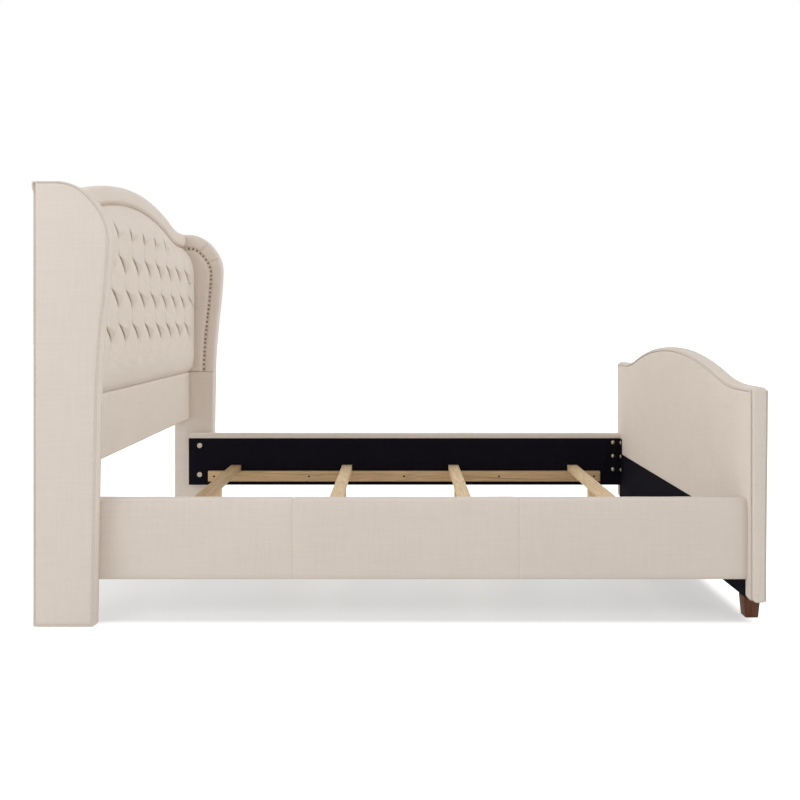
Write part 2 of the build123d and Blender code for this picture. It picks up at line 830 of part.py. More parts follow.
def footboard_outer_pad():
    pad = along(foot_face(welt_width), foot_outer_pad_x, end_x)
    return fillet(pad.faces().sort_by(Axis.X)[-1].edges(), foot_pad_radius)


def footboard_boxing():
    """The padded band over the arch and down both ends, a little prouder than the welts."""
    inner = foot_face(foot_boxing_thickness - foot_boxing_crown, footboard_bottom - overrun)
    return along(foot_face(-foot_boxing_crown) - inner, foot_frame_x, foot_outer_pad_x)


def footboard_welts():
    ring = foot_face(0.0) - foot_face(welt_width, footboard_bottom - overrun)
    inner = along(ring, foot_x, foot_frame_x)
    outer = along(ring, foot_outer_pad_x, end_x)
    inner = fillet(inner.faces().sort_by(Axis.X)[0].edges(), welt_radius)
    return [inner, fillet(outer.faces().sort_by(Axis.X)[-1].edges(), welt_radius)]


def foot_leg():
    """A square wooden leg that tapers to the floor."""
    bottom = Rectangle(foot_leg_bottom_side, foot_leg_bottom_side)
    top = Pos(0, 0, footboard_bottom) * Rectangle(foot_leg_top_side, foot_leg_top_side)
    leg = Pos(foot_leg_x, foot_leg_y, 0) * loft([bottom, top])
    depth = leg_bolt_length - leg_bolt_bite
    hole = Pos(foot_leg_x, foot_leg_y, footboard_bottom - depth / 2) * Cylinder(leg_bolt_radius, depth)
    return leg - hole


def foot_leg_bolts():
    middle = footboard_bottom + leg_bolt_bite - leg_bolt_length / 2
    return both_sides(Pos(foot_leg_x, foot_leg_y, middle) * Cylinder(leg_bolt_radius, leg_bolt_length))


# Corner brackets and inserts
def corner_bracket():
    top = bracket_bottom + bracket_height
    inner = lining_y - bracket_thickness
    on_rail = block(foot_x - bracket_rail_width, foot_x, inner, lining_y, bracket_bottom, top)
    on_foot = block(
        foot_x - bracket_thickness, foot_x, lining_y - bracket_foot_width, lining_y, bracket_bottom, top
    )
    bracket = on_rail + on_foot
    for place, direction in corner_bolt_places():
        bracket -= aimed(Cylinder(corner_bolt_shank, bracket_thickness * 4), *place, direction)
    return bracket


def corner_bolt_places():
    """Where the domed bolts sit on the right-hand bracket, and which way each one faces."""
    inner_y, inner_x = lining_y - bracket_thickness, foot_x - bracket_thickness
    places = []
    for z in corner_bolt_heights:
        places.append(((foot_x - corner_bolt_rail_place, inner_y, z), (0, -1, 0)))
        places.append(((inner_x, lining_y - corner_bolt_foot_place, z), (-1, 0, 0)))
    return places


def corner_bolts():
    bolt = dome(corner_bolt_radius, corner_bolt_height, corner_bolt_shank, corner_bolt_length)
    bolts = []
    for place, direction in corner_bolt_places():
        bolts += both_sides(aimed(bolt, *place, direction))
    return bolts


def head_bolt_inserts():
    """Flanged inserts in the wing frames for the head bolts."""
    flange = Pos(0, 0, -nut_flange_thickness / 2) * Cylinder(nut_flange_radius, nut_flange_thickness)
    barrel = Pos(0, 0, -nut_barrel_length / 2) * Cylinder(nut_barrel_radius, nut_barrel_length)
    bore = Cylinder(head_bolt_shank, nut_barrel_length * 4)
    inserts = []
    for z in head_bolt_heights:
        insert = flange + barrel - bore
        inserts += both_sides(aimed(insert, head_x + head_bolt_place, wing_cover_y, z, (0, 1, 0)))
    return inserts


# Slats and their legs
def leg_screw_points(x):
    return [(x + side, y) for side in (-leg_screw_place, leg_screw_place) for y in (-leg_place, leg_place)]


def slat(x):
    piece = block(
        x - slat_width / 2, x + slat_width / 2, -slat_end_y, slat_end_y, ledger_top, slat_top
    )
    end_screw = wood_screw(screw_bite, slat_thickness, screw_clearance)
    for y in (-1, 1):
        piece -= aimed(end_screw, x, y * (slat_end_y - slat_screw_inset), slat_top, (0, 0, 1))
    leg_screw = wood_screw(leg_screw_bite, slat_thickness, screw_clearance)
    for place in leg_screw_points(x):
        piece -= aimed(leg_screw, *place, slat_top, (0, 0, 1))
    return piece


def slat_screws():
    end_screw = wood_screw(screw_bite, slat_thickness)
    leg_screw = wood_screw(leg_screw_bite, slat_thickness)
    screws = []
    for x in slat_centres:
        screws += both_sides(aimed(end_screw, x, slat_end_y - slat_screw_inset, slat_top, (0, 0, 1)))
        screws += [aimed(leg_screw, *place, slat_top, (0, 0, 1)) for place in leg_screw_points(x)]
    return screws


def slat_legs(x):
    """The two legs under one slat, bored for their inserts and levelling feet."""
    leg = block(
        x - slat_width / 2,
        x + slat_width / 2,
        leg_place - leg_depth / 2,
        leg_place + leg_depth / 2,
        leg_bottom,
        ledger_top,
    )
    barrel = insert_length - insert_flange_thickness
    leg -= Pos(x, leg_place, leg_bottom + barrel / 2) * Cylinder(insert_barrel_radius, barrel)
    bore = Cylinder(stem_radius + stem_bore_clearance, stem_bore_depth)
    leg -= Pos(x, leg_place, leg_bottom + stem_bore_depth / 2) * bore
    leg_screw = wood_screw(leg_screw_bite, slat_thickness, screw_clearance)
    for side in (-leg_screw_place, leg_screw_place):
        leg -= aimed(leg_screw, x + side, leg_place, slat_top, (0, 0, 1))
    return both_sides(leg)


def leg_inserts():
    """Flanged inserts in the slat legs, threaded for the levelling feet."""
    inserts = []
    barrel = insert_length - insert_flange_thickness
    for x in slat_centres:
        insert = Pos(0, 0, barrel / 2) * Cylinder(insert_barrel_radius, barrel)
        flange = Cylinder(insert_flange_radius, insert_flange_thickness)
        insert += Pos(0, 0, -insert_flange_thickness / 2) * flange
        insert -= Cylinder(stem_radius + stem_clearance, insert_length * 4)
        inserts += both_sides(Pos(x, leg_place, leg_bottom) * insert)
    return inserts


def levelling_foot(x, y):
    """A round foot on a threaded stem."""
    outline = [
        (0, 0),
        (foot_radius, 0),
        (foot_radius, foot_height - foot_edge),
        (foot_radius - foot_edge, foot_height),
        (stem_radius, foot_height),
        (stem_radius, foot_height + stem_length),
        (0, foot_height + stem_length),
    ]
    return Pos(x, y, 0) * turned(outline)


def build():
    """Every node of the bed by name."""
    nodes = {
        "headboard_posts": headboard_posts(),
        "headboard_cross_rails": headboard_cross_rails(),
        "headboard_panel": headboard_panel(),
        "headboard_back_cover": headboard_back_cover(),
        "headboard_border": headboard_border(),
        "headboard_tufted_pad": headboard_tufted_pad(),
        "headboard_lower_pad": headboard_lower_pad(),
        "nailheads": nailheads(),
        "wing_bolts": wing_bolts(),
        **left_and_right("wing_frame", wing_frame()),
        **left_and_right("wing_boxing", wing_boxing()),
        **left_and_right("wing_inner_pad", wing_inner_pad()),
        **left_and_right("wing_lower_cover", wing_lower_cover()),
        **left_and_right("wing_outer_cover", wing_outer_cover()),
        "wing_welts": both_sides(wing_welt()),
        "wing_glides": wing_glides(),
        **left_and_right("rail_board", rail_board()),
        **left_and_right("rail_cover", rail_cover()),
        **left_and_right("rail_lining", rail_lining()),
        **left_and_right("ledger", ledger()),
        "ledger_screws": ledger_screws(),
        "head_bolts": head_bolts(),
        "threaded_inserts": head_bolt_inserts() + leg_inserts(),
        "corner_brackets": both_sides(corner_bracket()),
        "corner_bolts": corner_bolts(),
        "footboard_frame": footboard_frame(),
        "footboard_inner_pad": footboard_inner_pad(),
        "footboard_black_panel": footboard_black_panel(),
        "footboard_outer_pad": footboard_outer_pad(),
        "footboard_boxing": footboard_boxing(),
        "footboard_welts": footboard_welts(),
        **left_and_right("foot_leg", foot_leg()),
        "foot_leg_bolts": foot_leg_bolts(),
        "slat_screws": slat_screws(),
    }
    for number, x in enumerate(slat_centres, 1):
        nodes[f"slat_{number}"] = slat(x)
        nodes[f"slat_{number}_legs"] = slat_legs(x)
        nodes[f"slat_{number}_left_foot"] = levelling_foot(x, -leg_place)
        nodes[f"slat_{number}_right_foot"] = levelling_foot(x, leg_place)
    return nodes


os.makedirs("parts", exist_ok=True)
for name, piece in build().items():
    pieces = piece if isinstance(piece, list) else [piece]
    solids = [solid for each in pieces for solid in each.solids()]
    export_step(Compound(children=solids), os.path.join("parts", f"{name}.step"))
    print(name, len(solids))
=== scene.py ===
"""The looks of an upholstered panel bed: tufted headboard with wings, arched footboard, rails and slats.

All sizes are in metres, in the bed's own frame: +X from the head to the foot, +Y across and +Z up.
"""

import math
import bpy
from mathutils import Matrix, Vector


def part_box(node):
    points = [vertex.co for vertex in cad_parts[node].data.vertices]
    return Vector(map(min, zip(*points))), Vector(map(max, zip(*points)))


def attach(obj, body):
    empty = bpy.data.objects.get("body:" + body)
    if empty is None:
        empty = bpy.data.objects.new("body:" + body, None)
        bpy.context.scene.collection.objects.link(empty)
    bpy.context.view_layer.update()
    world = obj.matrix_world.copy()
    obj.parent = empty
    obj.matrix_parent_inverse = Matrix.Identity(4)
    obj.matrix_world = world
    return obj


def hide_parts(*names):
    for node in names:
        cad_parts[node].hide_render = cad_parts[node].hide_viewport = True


bl_info = {
    "name": "Upholstered panel bed",
    "version": (1, 0, 0),
    "blender": (4, 5, 0),
    "location": "View3D > Sidebar > Bed",
    "description": "Dresses the packed bed frame with its upholstery, woods, metals and studio",
    "category": "Object",
}

import bpy
import numpy as np
from mathutils import Vector

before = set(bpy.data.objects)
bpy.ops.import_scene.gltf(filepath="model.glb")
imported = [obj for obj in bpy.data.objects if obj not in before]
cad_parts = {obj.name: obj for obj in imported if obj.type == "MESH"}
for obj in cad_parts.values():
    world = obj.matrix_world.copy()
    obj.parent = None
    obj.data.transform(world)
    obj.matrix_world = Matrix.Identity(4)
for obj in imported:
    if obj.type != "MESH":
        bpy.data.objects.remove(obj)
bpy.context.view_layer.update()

TAU = 2 * math.pi
# The way along Y to each side of the bed
SIDES = {"left": -1, "right": 1}
# The slats' nodes, from the head to the foot
SLATS = [f"slat_{number}" for number in range(1, 5)]

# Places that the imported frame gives
BACK_LOW, BACK_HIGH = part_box("headboard_back_cover")
LOWER_PAD_LOW, LOWER_PAD_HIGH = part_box("headboard_lower_pad")
TUFTED_LOW, TUFTED_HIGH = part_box("headboard_tufted_pad")
RAIL_LOW, RAIL_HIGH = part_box("right_rail_cover")
BOARD_LOW, BOARD_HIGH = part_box("right_rail_board")
LINING_LOW, LINING_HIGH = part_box("right_rail_lining")
WING_LOW, WING_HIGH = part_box("right_wing_boxing")
FOOT_FRAME_LOW, FOOT_FRAME_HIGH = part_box("footboard_frame")
BLACK_LOW, BLACK_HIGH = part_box("footboard_black_panel")
WELT_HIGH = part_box("footboard_welts")[1]
ARCH_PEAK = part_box("headboard_border")[1].z
BACK_X, PANEL_FRONT_X = BACK_LOW.x, TUFTED_LOW.x
HEAD_X, FOOT_X = RAIL_LOW.x, RAIL_HIGH.x
END_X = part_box("footboard_outer_pad")[1].x
RAIL_Y, HEADBOARD_HALF = RAIL_HIGH.y, TUFTED_HIGH.y
WING_INNER_Y, WING_COVER_Y = WING_LOW.y, WING_HIGH.y
SEAM_Z = LOWER_PAD_HIGH.z

# The padding on a wing's inner side, and the plane that it is stapled to
WING_PADDING = 0.012
WING_SEAT_Y = WING_INNER_Y + WING_PADDING
# How far the cloth at the back stops short of the arch
BACK_CLOTH_INSET = 0.0125
# The lowest and the top row of dimples, as shares of the way from the seam to the shoulder
DIMPLE_ROWS = (0.238, 0.795)
# A fold of the tufting: how wide its bottom, the cloth beside it, the lip that laps over it and its shade are
FOLD_BOTTOM, FOLD_BESIDE, FOLD_LIP, FOLD_SHADE = 0.0034, 0.015, 0.0062, 0.0072
# The colour of the shade painted into the tufting's folds
FOLD_SHADE_COLOUR = (0.16, 0.10, 0.07, 1)
# The dark board's shares of the pine's colour, the size of the knots, and how much paler brass is painted
# The paler brass is a painted highlight on the nails at the headboard.
DARK_PINE, KNOT_SIZE, PAINTED_HIGHLIGHT = (0.57, 0.54, 0.48), 0.09, 1.6
# How high a wing's front edge has each of its upper reaches, as shares of the way from the seam to the shoulder
WING_BENDS = {"flare_reach": 0.442, "widest_reach": 0.720, "turn_reach": 0.855}
# Two pleats take up a wing's border at its upper corner: their heights, depth and width
PLEAT_HEIGHTS, PLEAT_DEPTH, PLEAT_WIDTH = (1.223, 1.297), 0.0055, 0.0028
# Where a wing's border starts to widen towards the top
BORDER_WIDENS_Z = 1.10
# The upright seams of a side rail, as shares of its length
RAIL_SEAMS = (0.3315, 0.6645)
# Points closer than this are one point
MERGED = 1e-5
# The turns in degrees from which an edge of the woodwork is eased, and up to which one is shaded smooth
EASED_TURN, SMOOTH_TURN = 40, 35
# The lamp at the near wing: where it stands, where it points and how wide it is
LAMP_PLACE, LAMP_AIM, LAMP_WIDTH = (-2.2, -2.6, 2.5), (-1.0, -0.8, 1.0), 1.2


def length(name, description, default):
    """A size in metres that a user can change."""
    return bpy.props.FloatProperty(
        name=name, description=description, default=default, unit="LENGTH", subtype="DISTANCE", precision=4
    )


def number(name, description, default):
    """A plain number that a user can change."""
    return bpy.props.FloatProperty(name=name, description=description, default=default)


def colour(name, description, default):
    """A colour that a user can change."""
    return bpy.props.FloatVectorProperty(
        name=name, description=description, default=default, subtype="COLOR", size=3, min=0, max=1
    )


class BED_PG_colours(bpy.types.PropertyGroup):
    """Colours of the bed's finishes."""

    linen: colour("Linen", "Upholstery cloth", (0.825, 0.735, 0.655))
    black: colour("Black cloth", "Cloth on the rails' inner sides", (0.0060, 0.0055, 0.0090))
    pine: colour("Pine", "Slats and their legs", (0.930, 0.680, 0.410))
    walnut: colour("Walnut", "Legs at the foot", (0.094, 0.030, 0.008))
    brass: colour("Nailheads", "Antique brass nails", (0.300, 0.240, 0.190))
    bolt: colour("Bolts", "Plated bolts", (0.450, 0.405, 0.315))
    zinc: colour("Zinc", "Screws and inserts", (0.500, 0.490, 0.460))
    ledger: colour("Ledgers", "Pine of the ledgers", (0.640, 0.440, 0.235))
    floor: colour("Floor", "Studio floor", (0.900, 0.900, 0.900))


class BED_PG_headboard(bpy.types.PropertyGroup):
    """Sizes of the headboard's arch and of its tufting."""

    arch_rise: length("Arch rise", "From the flat shoulders to the peak", 0.091)
    shoulder_width: length("Shoulder width", "Flat shoulder at each end of the arch", 0.088)
    crown_share: number("Crown share", "Share of the two arcs' radii that the middle arc has", 0.754)
    border_height: length("Border height", "From the arch down to the nails", 0.065)
    nail_channel: length("Nail channel", "Width of the sunk strip that the nails stand in", 0.012)
    flange: length("Flange", "Thickness of the cloth under the nails", 0.003)
    columns: bpy.props.IntProperty(name="Columns", description="Puffs across the headboard", default=10)
    dimple: length("Dimple", "Height of the dimples above the plywood", 0.021)
    valley: length("Valley", "Height of the folds above the plywood", 0.036)
    dome: length("Dome", "How far the puffs round down to their folds", 0.006)
    sag: number("Sag", "Drop of the puffs for each metre of their height", 1.30)
    dip: length("Dip", "Depth of the cloth beside a fold that overlaps it", 0.004)
    lap: length("Lap", "How far the upper puffs overlap the lower ones", 0.0080)
    fold: length("Fold", "Depth of the sharp folds above the dimples", 0.022)
    crown: length("Crown", "Height of the puffs above the plywood", 0.058)
    plain_crown: length("Plain crown", "Height of the part below the tufts", 0.056)
    seam_height: length("Seam height", "Height of the tufted part at its seam", 0.024)


class BED_PG_wings(bpy.types.PropertyGroup):
    """Sizes of the wings, from the rails' head end."""

    floor_reach: length("Floor reach", "Front edge at the floor", 0.102)
    waist_reach: length("Waist reach", "Front edge just below the seam", 0.113)
    flare_reach: length("Flare reach", "Front edge where the wing starts to swell", 0.134)
    widest_reach: length("Widest reach", "Front edge at its widest", 0.149)
    turn_reach: length("Turn reach", "Front edge where the top starts to round", 0.128)
    top_reach: length("Top reach", "Where the flat top ends", -0.011)
    waist_drop: length("Waist drop", "How far the waist lies below the seam", 0.010)
    border_width: length("Border width", "From the front edge to the nails", 0.052)
    top_border: length("Top border", "From the flat top to the nails", 0.067)


class BED_PG_footboard(bpy.types.PropertyGroup):
    """Sizes of the footboard."""

    arch_rise: length("Arch rise", "From the flat shoulders to the peak", 0.0965)
    shoulder_width: length("Shoulder width", "Flat shoulder at each end of the arch", 0.115)
    crown_share: number("Crown share", "Share of the two arcs' radii that the middle arc has", 0.725)
    boxing_crown: length("Boxing crown", "How far the band stands past the welts", 0.009)
    corner_radius: length("Corner radius", "Rounding of the lower inner corner", 0.013)
    lean: length("Lean", "How far the outer face stands out at the top", 0.006)


class BED_PG_studio(bpy.types.PropertyGroup):
    """The camera, the lamp, the sky and the floor's glow."""

    camera_place: bpy.props.FloatVectorProperty(
        name="Camera", description="Where the camera stands", default=(-0.008, -3.541, 0.920),
        subtype="TRANSLATION", unit="LENGTH",
    )
    lens: number("Lens", "Focal length in millimetres", 40.2)
    shift: number("Shift", "Upward shift of the view", -0.0996)
    wing_power: number("Wing lamp", "Power of the lamp at the near wing", 16.0)
    even_sky: number("Even sky", "Strength of the even light", 0.255)
    side_sky: number("Side sky", "Added strength towards both ends", 1.29)
    floor_glow: number("Floor glow", "Lifts the floor under the bed", 0.40)


def sizes(group):
    """One of the scene's groups of sizes."""
    return getattr(bpy.context.scene, f"bed_{group}")


# Outlines
def run_along(points):
    """How far along a line each of its points lies."""
    return np.concatenate([[0], np.cumsum(np.linalg.norm(np.diff(points, axis=0), axis=1))])


def even(points, count, closed=False):
    """A line of points, spaced anew at even steps."""
    points = np.asarray(points, float)
    if closed:
        points = np.vstack([points, points[:1]])
    run = run_along(points)
    at = np.linspace(0, run[-1], count + 1)[:-1] if closed else np.linspace(0, run[-1], count)
    return np.stack([np.interp(at, run, points[:, k]) for k in range(points.shape[1])], axis=1)


def inward(points, closed=False):
    """Unit directions to the left of a line, which is inwards on an outline drawn leftwards round."""
    if closed:
        ahead = np.roll(points, -1, axis=0) - np.roll(points, 1, axis=0)
    else:
        ahead = np.gradient(points, axis=0)
    ahead /= np.linalg.norm(ahead, axis=1)[:, None]
    return np.stack([-ahead[:, 1], ahead[:, 0]], axis=1)


def rounded(corners, closed=True, steps=6):
    """A line through corners given as (a, b, radius), with each corner rounded."""
    count = len(corners)
    line = []
    for n, (a, b, radius) in enumerate(corners):
        here = np.array([a, b])
        if radius == 0 or (not closed and n in (0, count - 1)):
            line.append(here)
            continue
        back = np.array(corners[n - 1][:2]) - here
        ahead = np.array(corners[(n + 1) % count][:2]) - here
        reach = min(radius, 0.48 * np.linalg.norm(back), 0.48 * np.linalg.norm(ahead))
        start = here + back / np.linalg.norm(back) * reach
        end = here + ahead / np.linalg.norm(ahead) * reach
        for share in np.linspace(0, 1, steps):
            line.append((1 - share) ** 2 * start + 2 * share * (1 - share) * here + share**2 * end)
    return np.array(line)


def ring(corners, count):
    """A closed section through rounded corners, evenly spaced."""
    return even(rounded(corners), count, closed=True)


class Arch:
    """A flat shoulder, a hollow arc, one high arc, and the same again."""

    def __init__(self, group, half, peak):
        rise = group.arch_rise
        self.half, self.peak, self.shoulder = half, peak, peak - rise
        self.foot = half - group.shoulder_width
        radii = (self.foot**2 + rise**2) / (2 * rise)
        self.high = group.crown_share * radii
        self.hollow = radii - self.high
        self.turn = math.asin(self.foot / radii)

    def height(self, y, inset=0.0):
        """The arch's height at y, moved in by inset."""
        high, hollow = self.high - inset, self.hollow + inset
        away = np.abs(y)
        low = self.shoulder + self.hollow - np.sqrt(np.maximum(hollow**2 - (self.foot - away) ** 2, 0))
        top = self.peak - self.high + np.sqrt(np.maximum(high**2 - away**2, 0))
        arch = np.where(away <= high * math.sin(self.turn), top, low)
        return np.where(away >= self.foot, self.shoulder - inset, arch)

    def line(self, count):
        """Points from the +Y end to the -Y end."""
        y = np.linspace(self.half, -self.half, 1201)
        return even(np.stack([y, self.height(y)], axis=1), count)


def head_arch():
    return Arch(sizes("headboard"), RAIL_Y, ARCH_PEAK)


def foot_arch():
    return Arch(sizes("footboard"), WELT_HIGH.y, WELT_HIGH.z)


def tangent_arc(start, ahead, end, count=40):
    """Points on the arc that leaves start in the direction ahead and reaches end, and its last direction."""
    chord = end - start
    left = np.array([-ahead[1], ahead[0]])
    turn = 2 * math.atan2(chord @ left, chord @ ahead)
    if abs(turn) < 1e-6:
        return np.linspace(start, end, count), ahead
    radius = np.linalg.norm(chord) / (2 * math.sin(turn / 2))
    angle = np.linspace(0, turn, count)
    points = start + radius * (np.outer(np.sin(angle), ahead) + np.outer(1 - np.cos(angle), left))
    return points, ahead * math.cos(turn) + left * math.sin(turn)


def meeting_point(start, ahead, end, arrival):
    """Where two arcs meet that leave start in one direction and reach end in another."""
    chord = end - start
    lead = chord @ (ahead + arrival)
    bend = 1 - ahead @ arrival
    handle = (math.sqrt(lead**2 + 2 * bend * (chord @ chord)) - lead) / (2 * bend)
    return (start + end + (ahead - arrival) * handle) / 2


def wing_front():
    """The wing's front edge from the floor up to its flat top, in X and Z."""
    group = sizes("wings")
    shoulder = head_arch().shoulder
    marks = [np.array([HEAD_X + group.waist_reach, SEAM_Z - group.waist_drop])]
    for bend, share in WING_BENDS.items():
        marks.append(np.array([HEAD_X + getattr(group, bend), SEAM_Z + share * (shoulder - SEAM_Z)]))
    floor = np.array([HEAD_X + group.floor_reach, WING_LOW.z])
    top = np.array([HEAD_X + group.top_reach, shoulder])
    ahead = (marks[0] - floor) / np.linalg.norm(marks[0] - floor)
    line = [np.linspace(floor, marks[0], 80)]
    for start, end in zip(marks, marks[1:]):
        points, ahead = tangent_arc(start, ahead, end)
        line.append(points)
    meet = meeting_point(marks[-1], ahead, top, np.array([-1.0, 0.0]))
    for start, end in ((marks[-1], meet), (meet, top)):
        points, ahead = tangent_arc(start, ahead, end)
        line.append(points)
    whole = np.vstack(line)
    apart = np.diff(run_along(whole), prepend=-1) > 1e-6
    return whole[apart]


def front_reach(z, inset=0.0, drop=0.0):
    """How far forward the wing's front edge lies at a height, moved in and down."""
    line = wing_front()
    moved = line + inward(line) * inset - np.array([0, drop])
    rising = np.concatenate([[True], np.diff(np.maximum.accumulate(moved[:, 1])) > 0])
    return np.interp(z, moved[rising, 1], moved[rising, 0])


# Surfaces
def ripple(a, b, wave):
    """A smooth uneven swell from -1 to 1 over a surface, about that long from crest to crest."""
    k = TAU / wave
    swells = ((0.80, 0.35, 1.3), (0.45, -0.90, 4.1), (-1.30, 0.55, 2.2), (0.20, 1.50, 0.4))
    return sum(np.sin(k * (along * a + across * b) + start) for along, across, start in swells) / len(swells)


def edge_round(distance, radius):
    """The share of its height that a padded surface has at a distance from its edge."""
    inside = np.clip(distance / radius, 0, 1)
    return np.sqrt(1 - (1 - inside) ** 2)


def knots(*marks):
    """Numbers from mark to mark: each mark but the first is (value, steps)."""
    line = [np.array([marks[0]], float)]
    for (end, steps), start in zip(marks[1:], [marks[0]] + [value for value, _ in marks[1:]]):
        line.append(np.linspace(start, end, steps + 1)[1:])
    return np.concatenate(line)


def smooth_step(x, low, high):
    share = np.clip((x - low) / (high - low), 0, 1)
    return share * share * (3 - 2 * share)


# Modelling by operators
def deselect():
    if bpy.context.object and bpy.context.object.mode != "OBJECT":
        bpy.ops.object.mode_set(mode="OBJECT")
    bpy.ops.object.select_all(action="DESELECT")


def pick(piece):
    """Makes a piece the only selected and the active one."""
    deselect()
    piece.select_set(True)
    bpy.context.view_layer.objects.active = piece


def numbers(items, field, width=1, kind=float):
    """One field of all of a mesh's points, faces or corners."""
    values = np.empty(len(items) * width, kind)
    items.foreach_get(field, values)
    return values.reshape(-1, width) if width > 1 else values


def points_of(piece):
    return numbers(piece.data.vertices, "co", 3)


def move_points(piece, co):
    piece.data.vertices.foreach_set("co", np.asarray(co, float).ravel())
    piece.data.update()


def grid(name, columns, rows):
    """A new flat grid, with the column and the row number of each of its points."""
    deselect()
    bpy.ops.mesh.primitive_grid_add(x_subdivisions=columns, y_subdivisions=rows, size=2)
    piece = bpy.context.object
    piece.name = name
    co = points_of(piece)
    column = np.rint((co[:, 0] + 1) / 2 * columns).astype(int)
    row = np.rint((co[:, 1] + 1) / 2 * rows).astype(int)
    return piece, column, row


def close_shell(fill):
    """Merges the active piece's doubles, fills its open ends where asked and turns its faces outwards."""
    bpy.ops.object.mode_set(mode="EDIT")
    bpy.ops.mesh.select_all(action="SELECT")
    bpy.ops.mesh.remove_doubles(threshold=MERGED)
    if fill:
        bpy.ops.mesh.fill_holes(sides=0)
    bpy.ops.mesh.select_all(action="SELECT")
    bpy.ops.mesh.normals_make_consistent(inside=False)
    bpy.ops.object.mode_set(mode="OBJECT")


def swept(name, line, section, lay, closed=False):
    """A tube whose section follows a line. Section points are (inset, across), and lay puts them in space."""
    directions = inward(line, closed)
    section = np.broadcast_to(section, (len(line), *section.shape[-2:]))
    around = section.shape[1]
    piece, column, row = grid(name, len(line) if closed else len(line) - 1, around)
    column, row = column % len(line), row % around
    here = section[column, row]
    flat = line[column] + directions[column] * here[:, :1]
    move_points(piece, lay(flat[:, 0], flat[:, 1], here[:, 1]))
    close_shell(fill=not closed)
    return piece


def padded_front(name, across, up, place, axis, plane, cut=None):
    """A padded front over a grid of shares across and up, closed behind on a flat plane."""
    piece, column, row = grid(name, len(across) - 1, len(up) - 1)
    move_points(piece, place(across[column], up[row]))
    mesh = piece.data
    bpy.ops.object.mode_set(mode="EDIT")
    if cut is not None:
        bpy.ops.mesh.select_mode(type="FACE")
        bpy.ops.mesh.select_all(action="DESELECT")
        bpy.ops.object.mode_set(mode="OBJECT")
        mesh.polygons.foreach_set("select", cut(numbers(mesh.polygons, "center", 3)))
        bpy.ops.object.mode_set(mode="EDIT")
        bpy.ops.mesh.delete(type="FACE")
    bpy.ops.mesh.select_mode(type="VERT")
    bpy.ops.mesh.select_all(action="SELECT")
    bpy.ops.mesh.region_to_loop()
    bpy.ops.mesh.extrude_edges_move()
    bpy.ops.object.mode_set(mode="OBJECT")
    co = points_of(piece)
    co[numbers(mesh.vertices, "select", kind=bool), axis] = plane
    move_points(piece, co)
    bpy.ops.object.mode_set(mode="EDIT")
    bpy.ops.mesh.edge_face_add()
    bpy.ops.mesh.select_all(action="SELECT")
    bpy.ops.mesh.normals_make_consistent(inside=False)
    bpy.ops.object.mode_set(mode="OBJECT")
    return piece


def taut_cloth(name, low, high, axis, side, counts, wave, held_ends):
    """Thin cloth on a box's low side along axis, flat at the edges that are held and faintly uneven between."""
    along = 1 - axis

    def place(share_along, share_z):
        run = low[along] + share_along * (high[along] - low[along])
        z = low.z + share_z * (high.z - low.z)
        near = np.minimum(z - low.z, high.z - z)
        if held_ends:
            near = np.minimum(near, np.minimum(run - low[along], high[along] - run))
        swell = 0.0005 * ripple(run, z, wave) * smooth_step(near, 0, 0.02)
        co = np.zeros((len(z), 3))
        co[:, along], co[:, axis], co[:, 2] = run, side * (low[axis] + 0.0006 + swell), z
        return co

    across, up = (np.linspace(0, 1, count) for count in counts)
    return padded_front(name, across, up, place, axis, side * high[axis])


def softened(name, node, width, steps):
    """A merged copy of a CAD piece with its sharp edges eased."""
    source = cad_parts[node]
    piece = source.copy()
    piece.data = source.data.copy()
    piece.name = name
    piece.parent = None
    for key in list(piece.keys()):
        if key.startswith("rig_"):
            del piece[key]
    bpy.context.scene.collection.objects.link(piece)
    pick(piece)
    piece.data.materials.clear()
    bpy.ops.object.mode_set(mode="EDIT")
    bpy.ops.mesh.select_all(action="SELECT")
    bpy.ops.mesh.remove_doubles(threshold=MERGED)
    bpy.ops.mesh.dissolve_limited(angle_limit=math.radians(1))
    bpy.ops.object.mode_set(mode="OBJECT")
    bevel = piece.modifiers.new("Eased edges", "BEVEL")
    bevel.width, bevel.segments = width, steps
    bevel.limit_method, bevel.angle_limit = "ANGLE", math.radians(EASED_TURN)
    bevel.use_clamp_overlap = False
    bpy.ops.object.modifier_apply(modifier=bevel.name)
    bpy.ops.object.shade_smooth_by_angle(angle=math.radians(SMOOTH_TURN))
    return piece


def map_cloth(piece, axis=None):
    """Cloth coordinates in metres, laid on from the side that each face looks to, or from one axis."""
    mesh = piece.data
    while mesh.uv_layers:
        mesh.uv_layers.remove(mesh.uv_layers[0])
    if axis is None:
        facing = np.abs(numbers(mesh.polygons, "normal", 3)).argmax(axis=1)
    else:
        facing = np.full(len(mesh.polygons), axis)
    facing = np.repeat(facing, numbers(mesh.polygons, "loop_total", kind=int))
    co = points_of(piece)[numbers(mesh.loops, "vertex_index", kind=int)]
    u = np.where(facing == 0, co[:, 1], co[:, 0])
    v = np.where(facing == 2, co[:, 1], co[:, 2])
    layer = mesh.uv_layers.new(name="cloth")
    layer.data.foreach_set("uv", np.stack([u, v], axis=1).ravel())


def paint(piece, finish):
    piece.data.materials.clear()
    piece.data.materials.append(FINISHES[finish])


def dress(piece, finish, nodes=(), axis=None, smooth=50):
    """Gives a piece its finish, hangs it on the frame's body and hides the CAD pieces that it stands for."""
    pick(piece)
    if smooth:
        bpy.ops.object.shade_smooth_by_angle(angle=math.radians(smooth))
    map_cloth(piece, axis)
    paint(piece, finish)
    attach(piece, "frame")
    if nodes:
        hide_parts(*nodes)
    return piece


# Materials
def add(tree, kind, inputs=None, **settings):
    """A node with its inputs set or linked."""
    node = tree.nodes.new(kind)
    for name, value in settings.items():
        setattr(node, name, value)
    for name, value in (inputs or {}).items():
        if isinstance(value, bpy.types.NodeSocket):
            tree.links.new(value, node.inputs[name])
        else:
            node.inputs[name].default_value = value
    return node


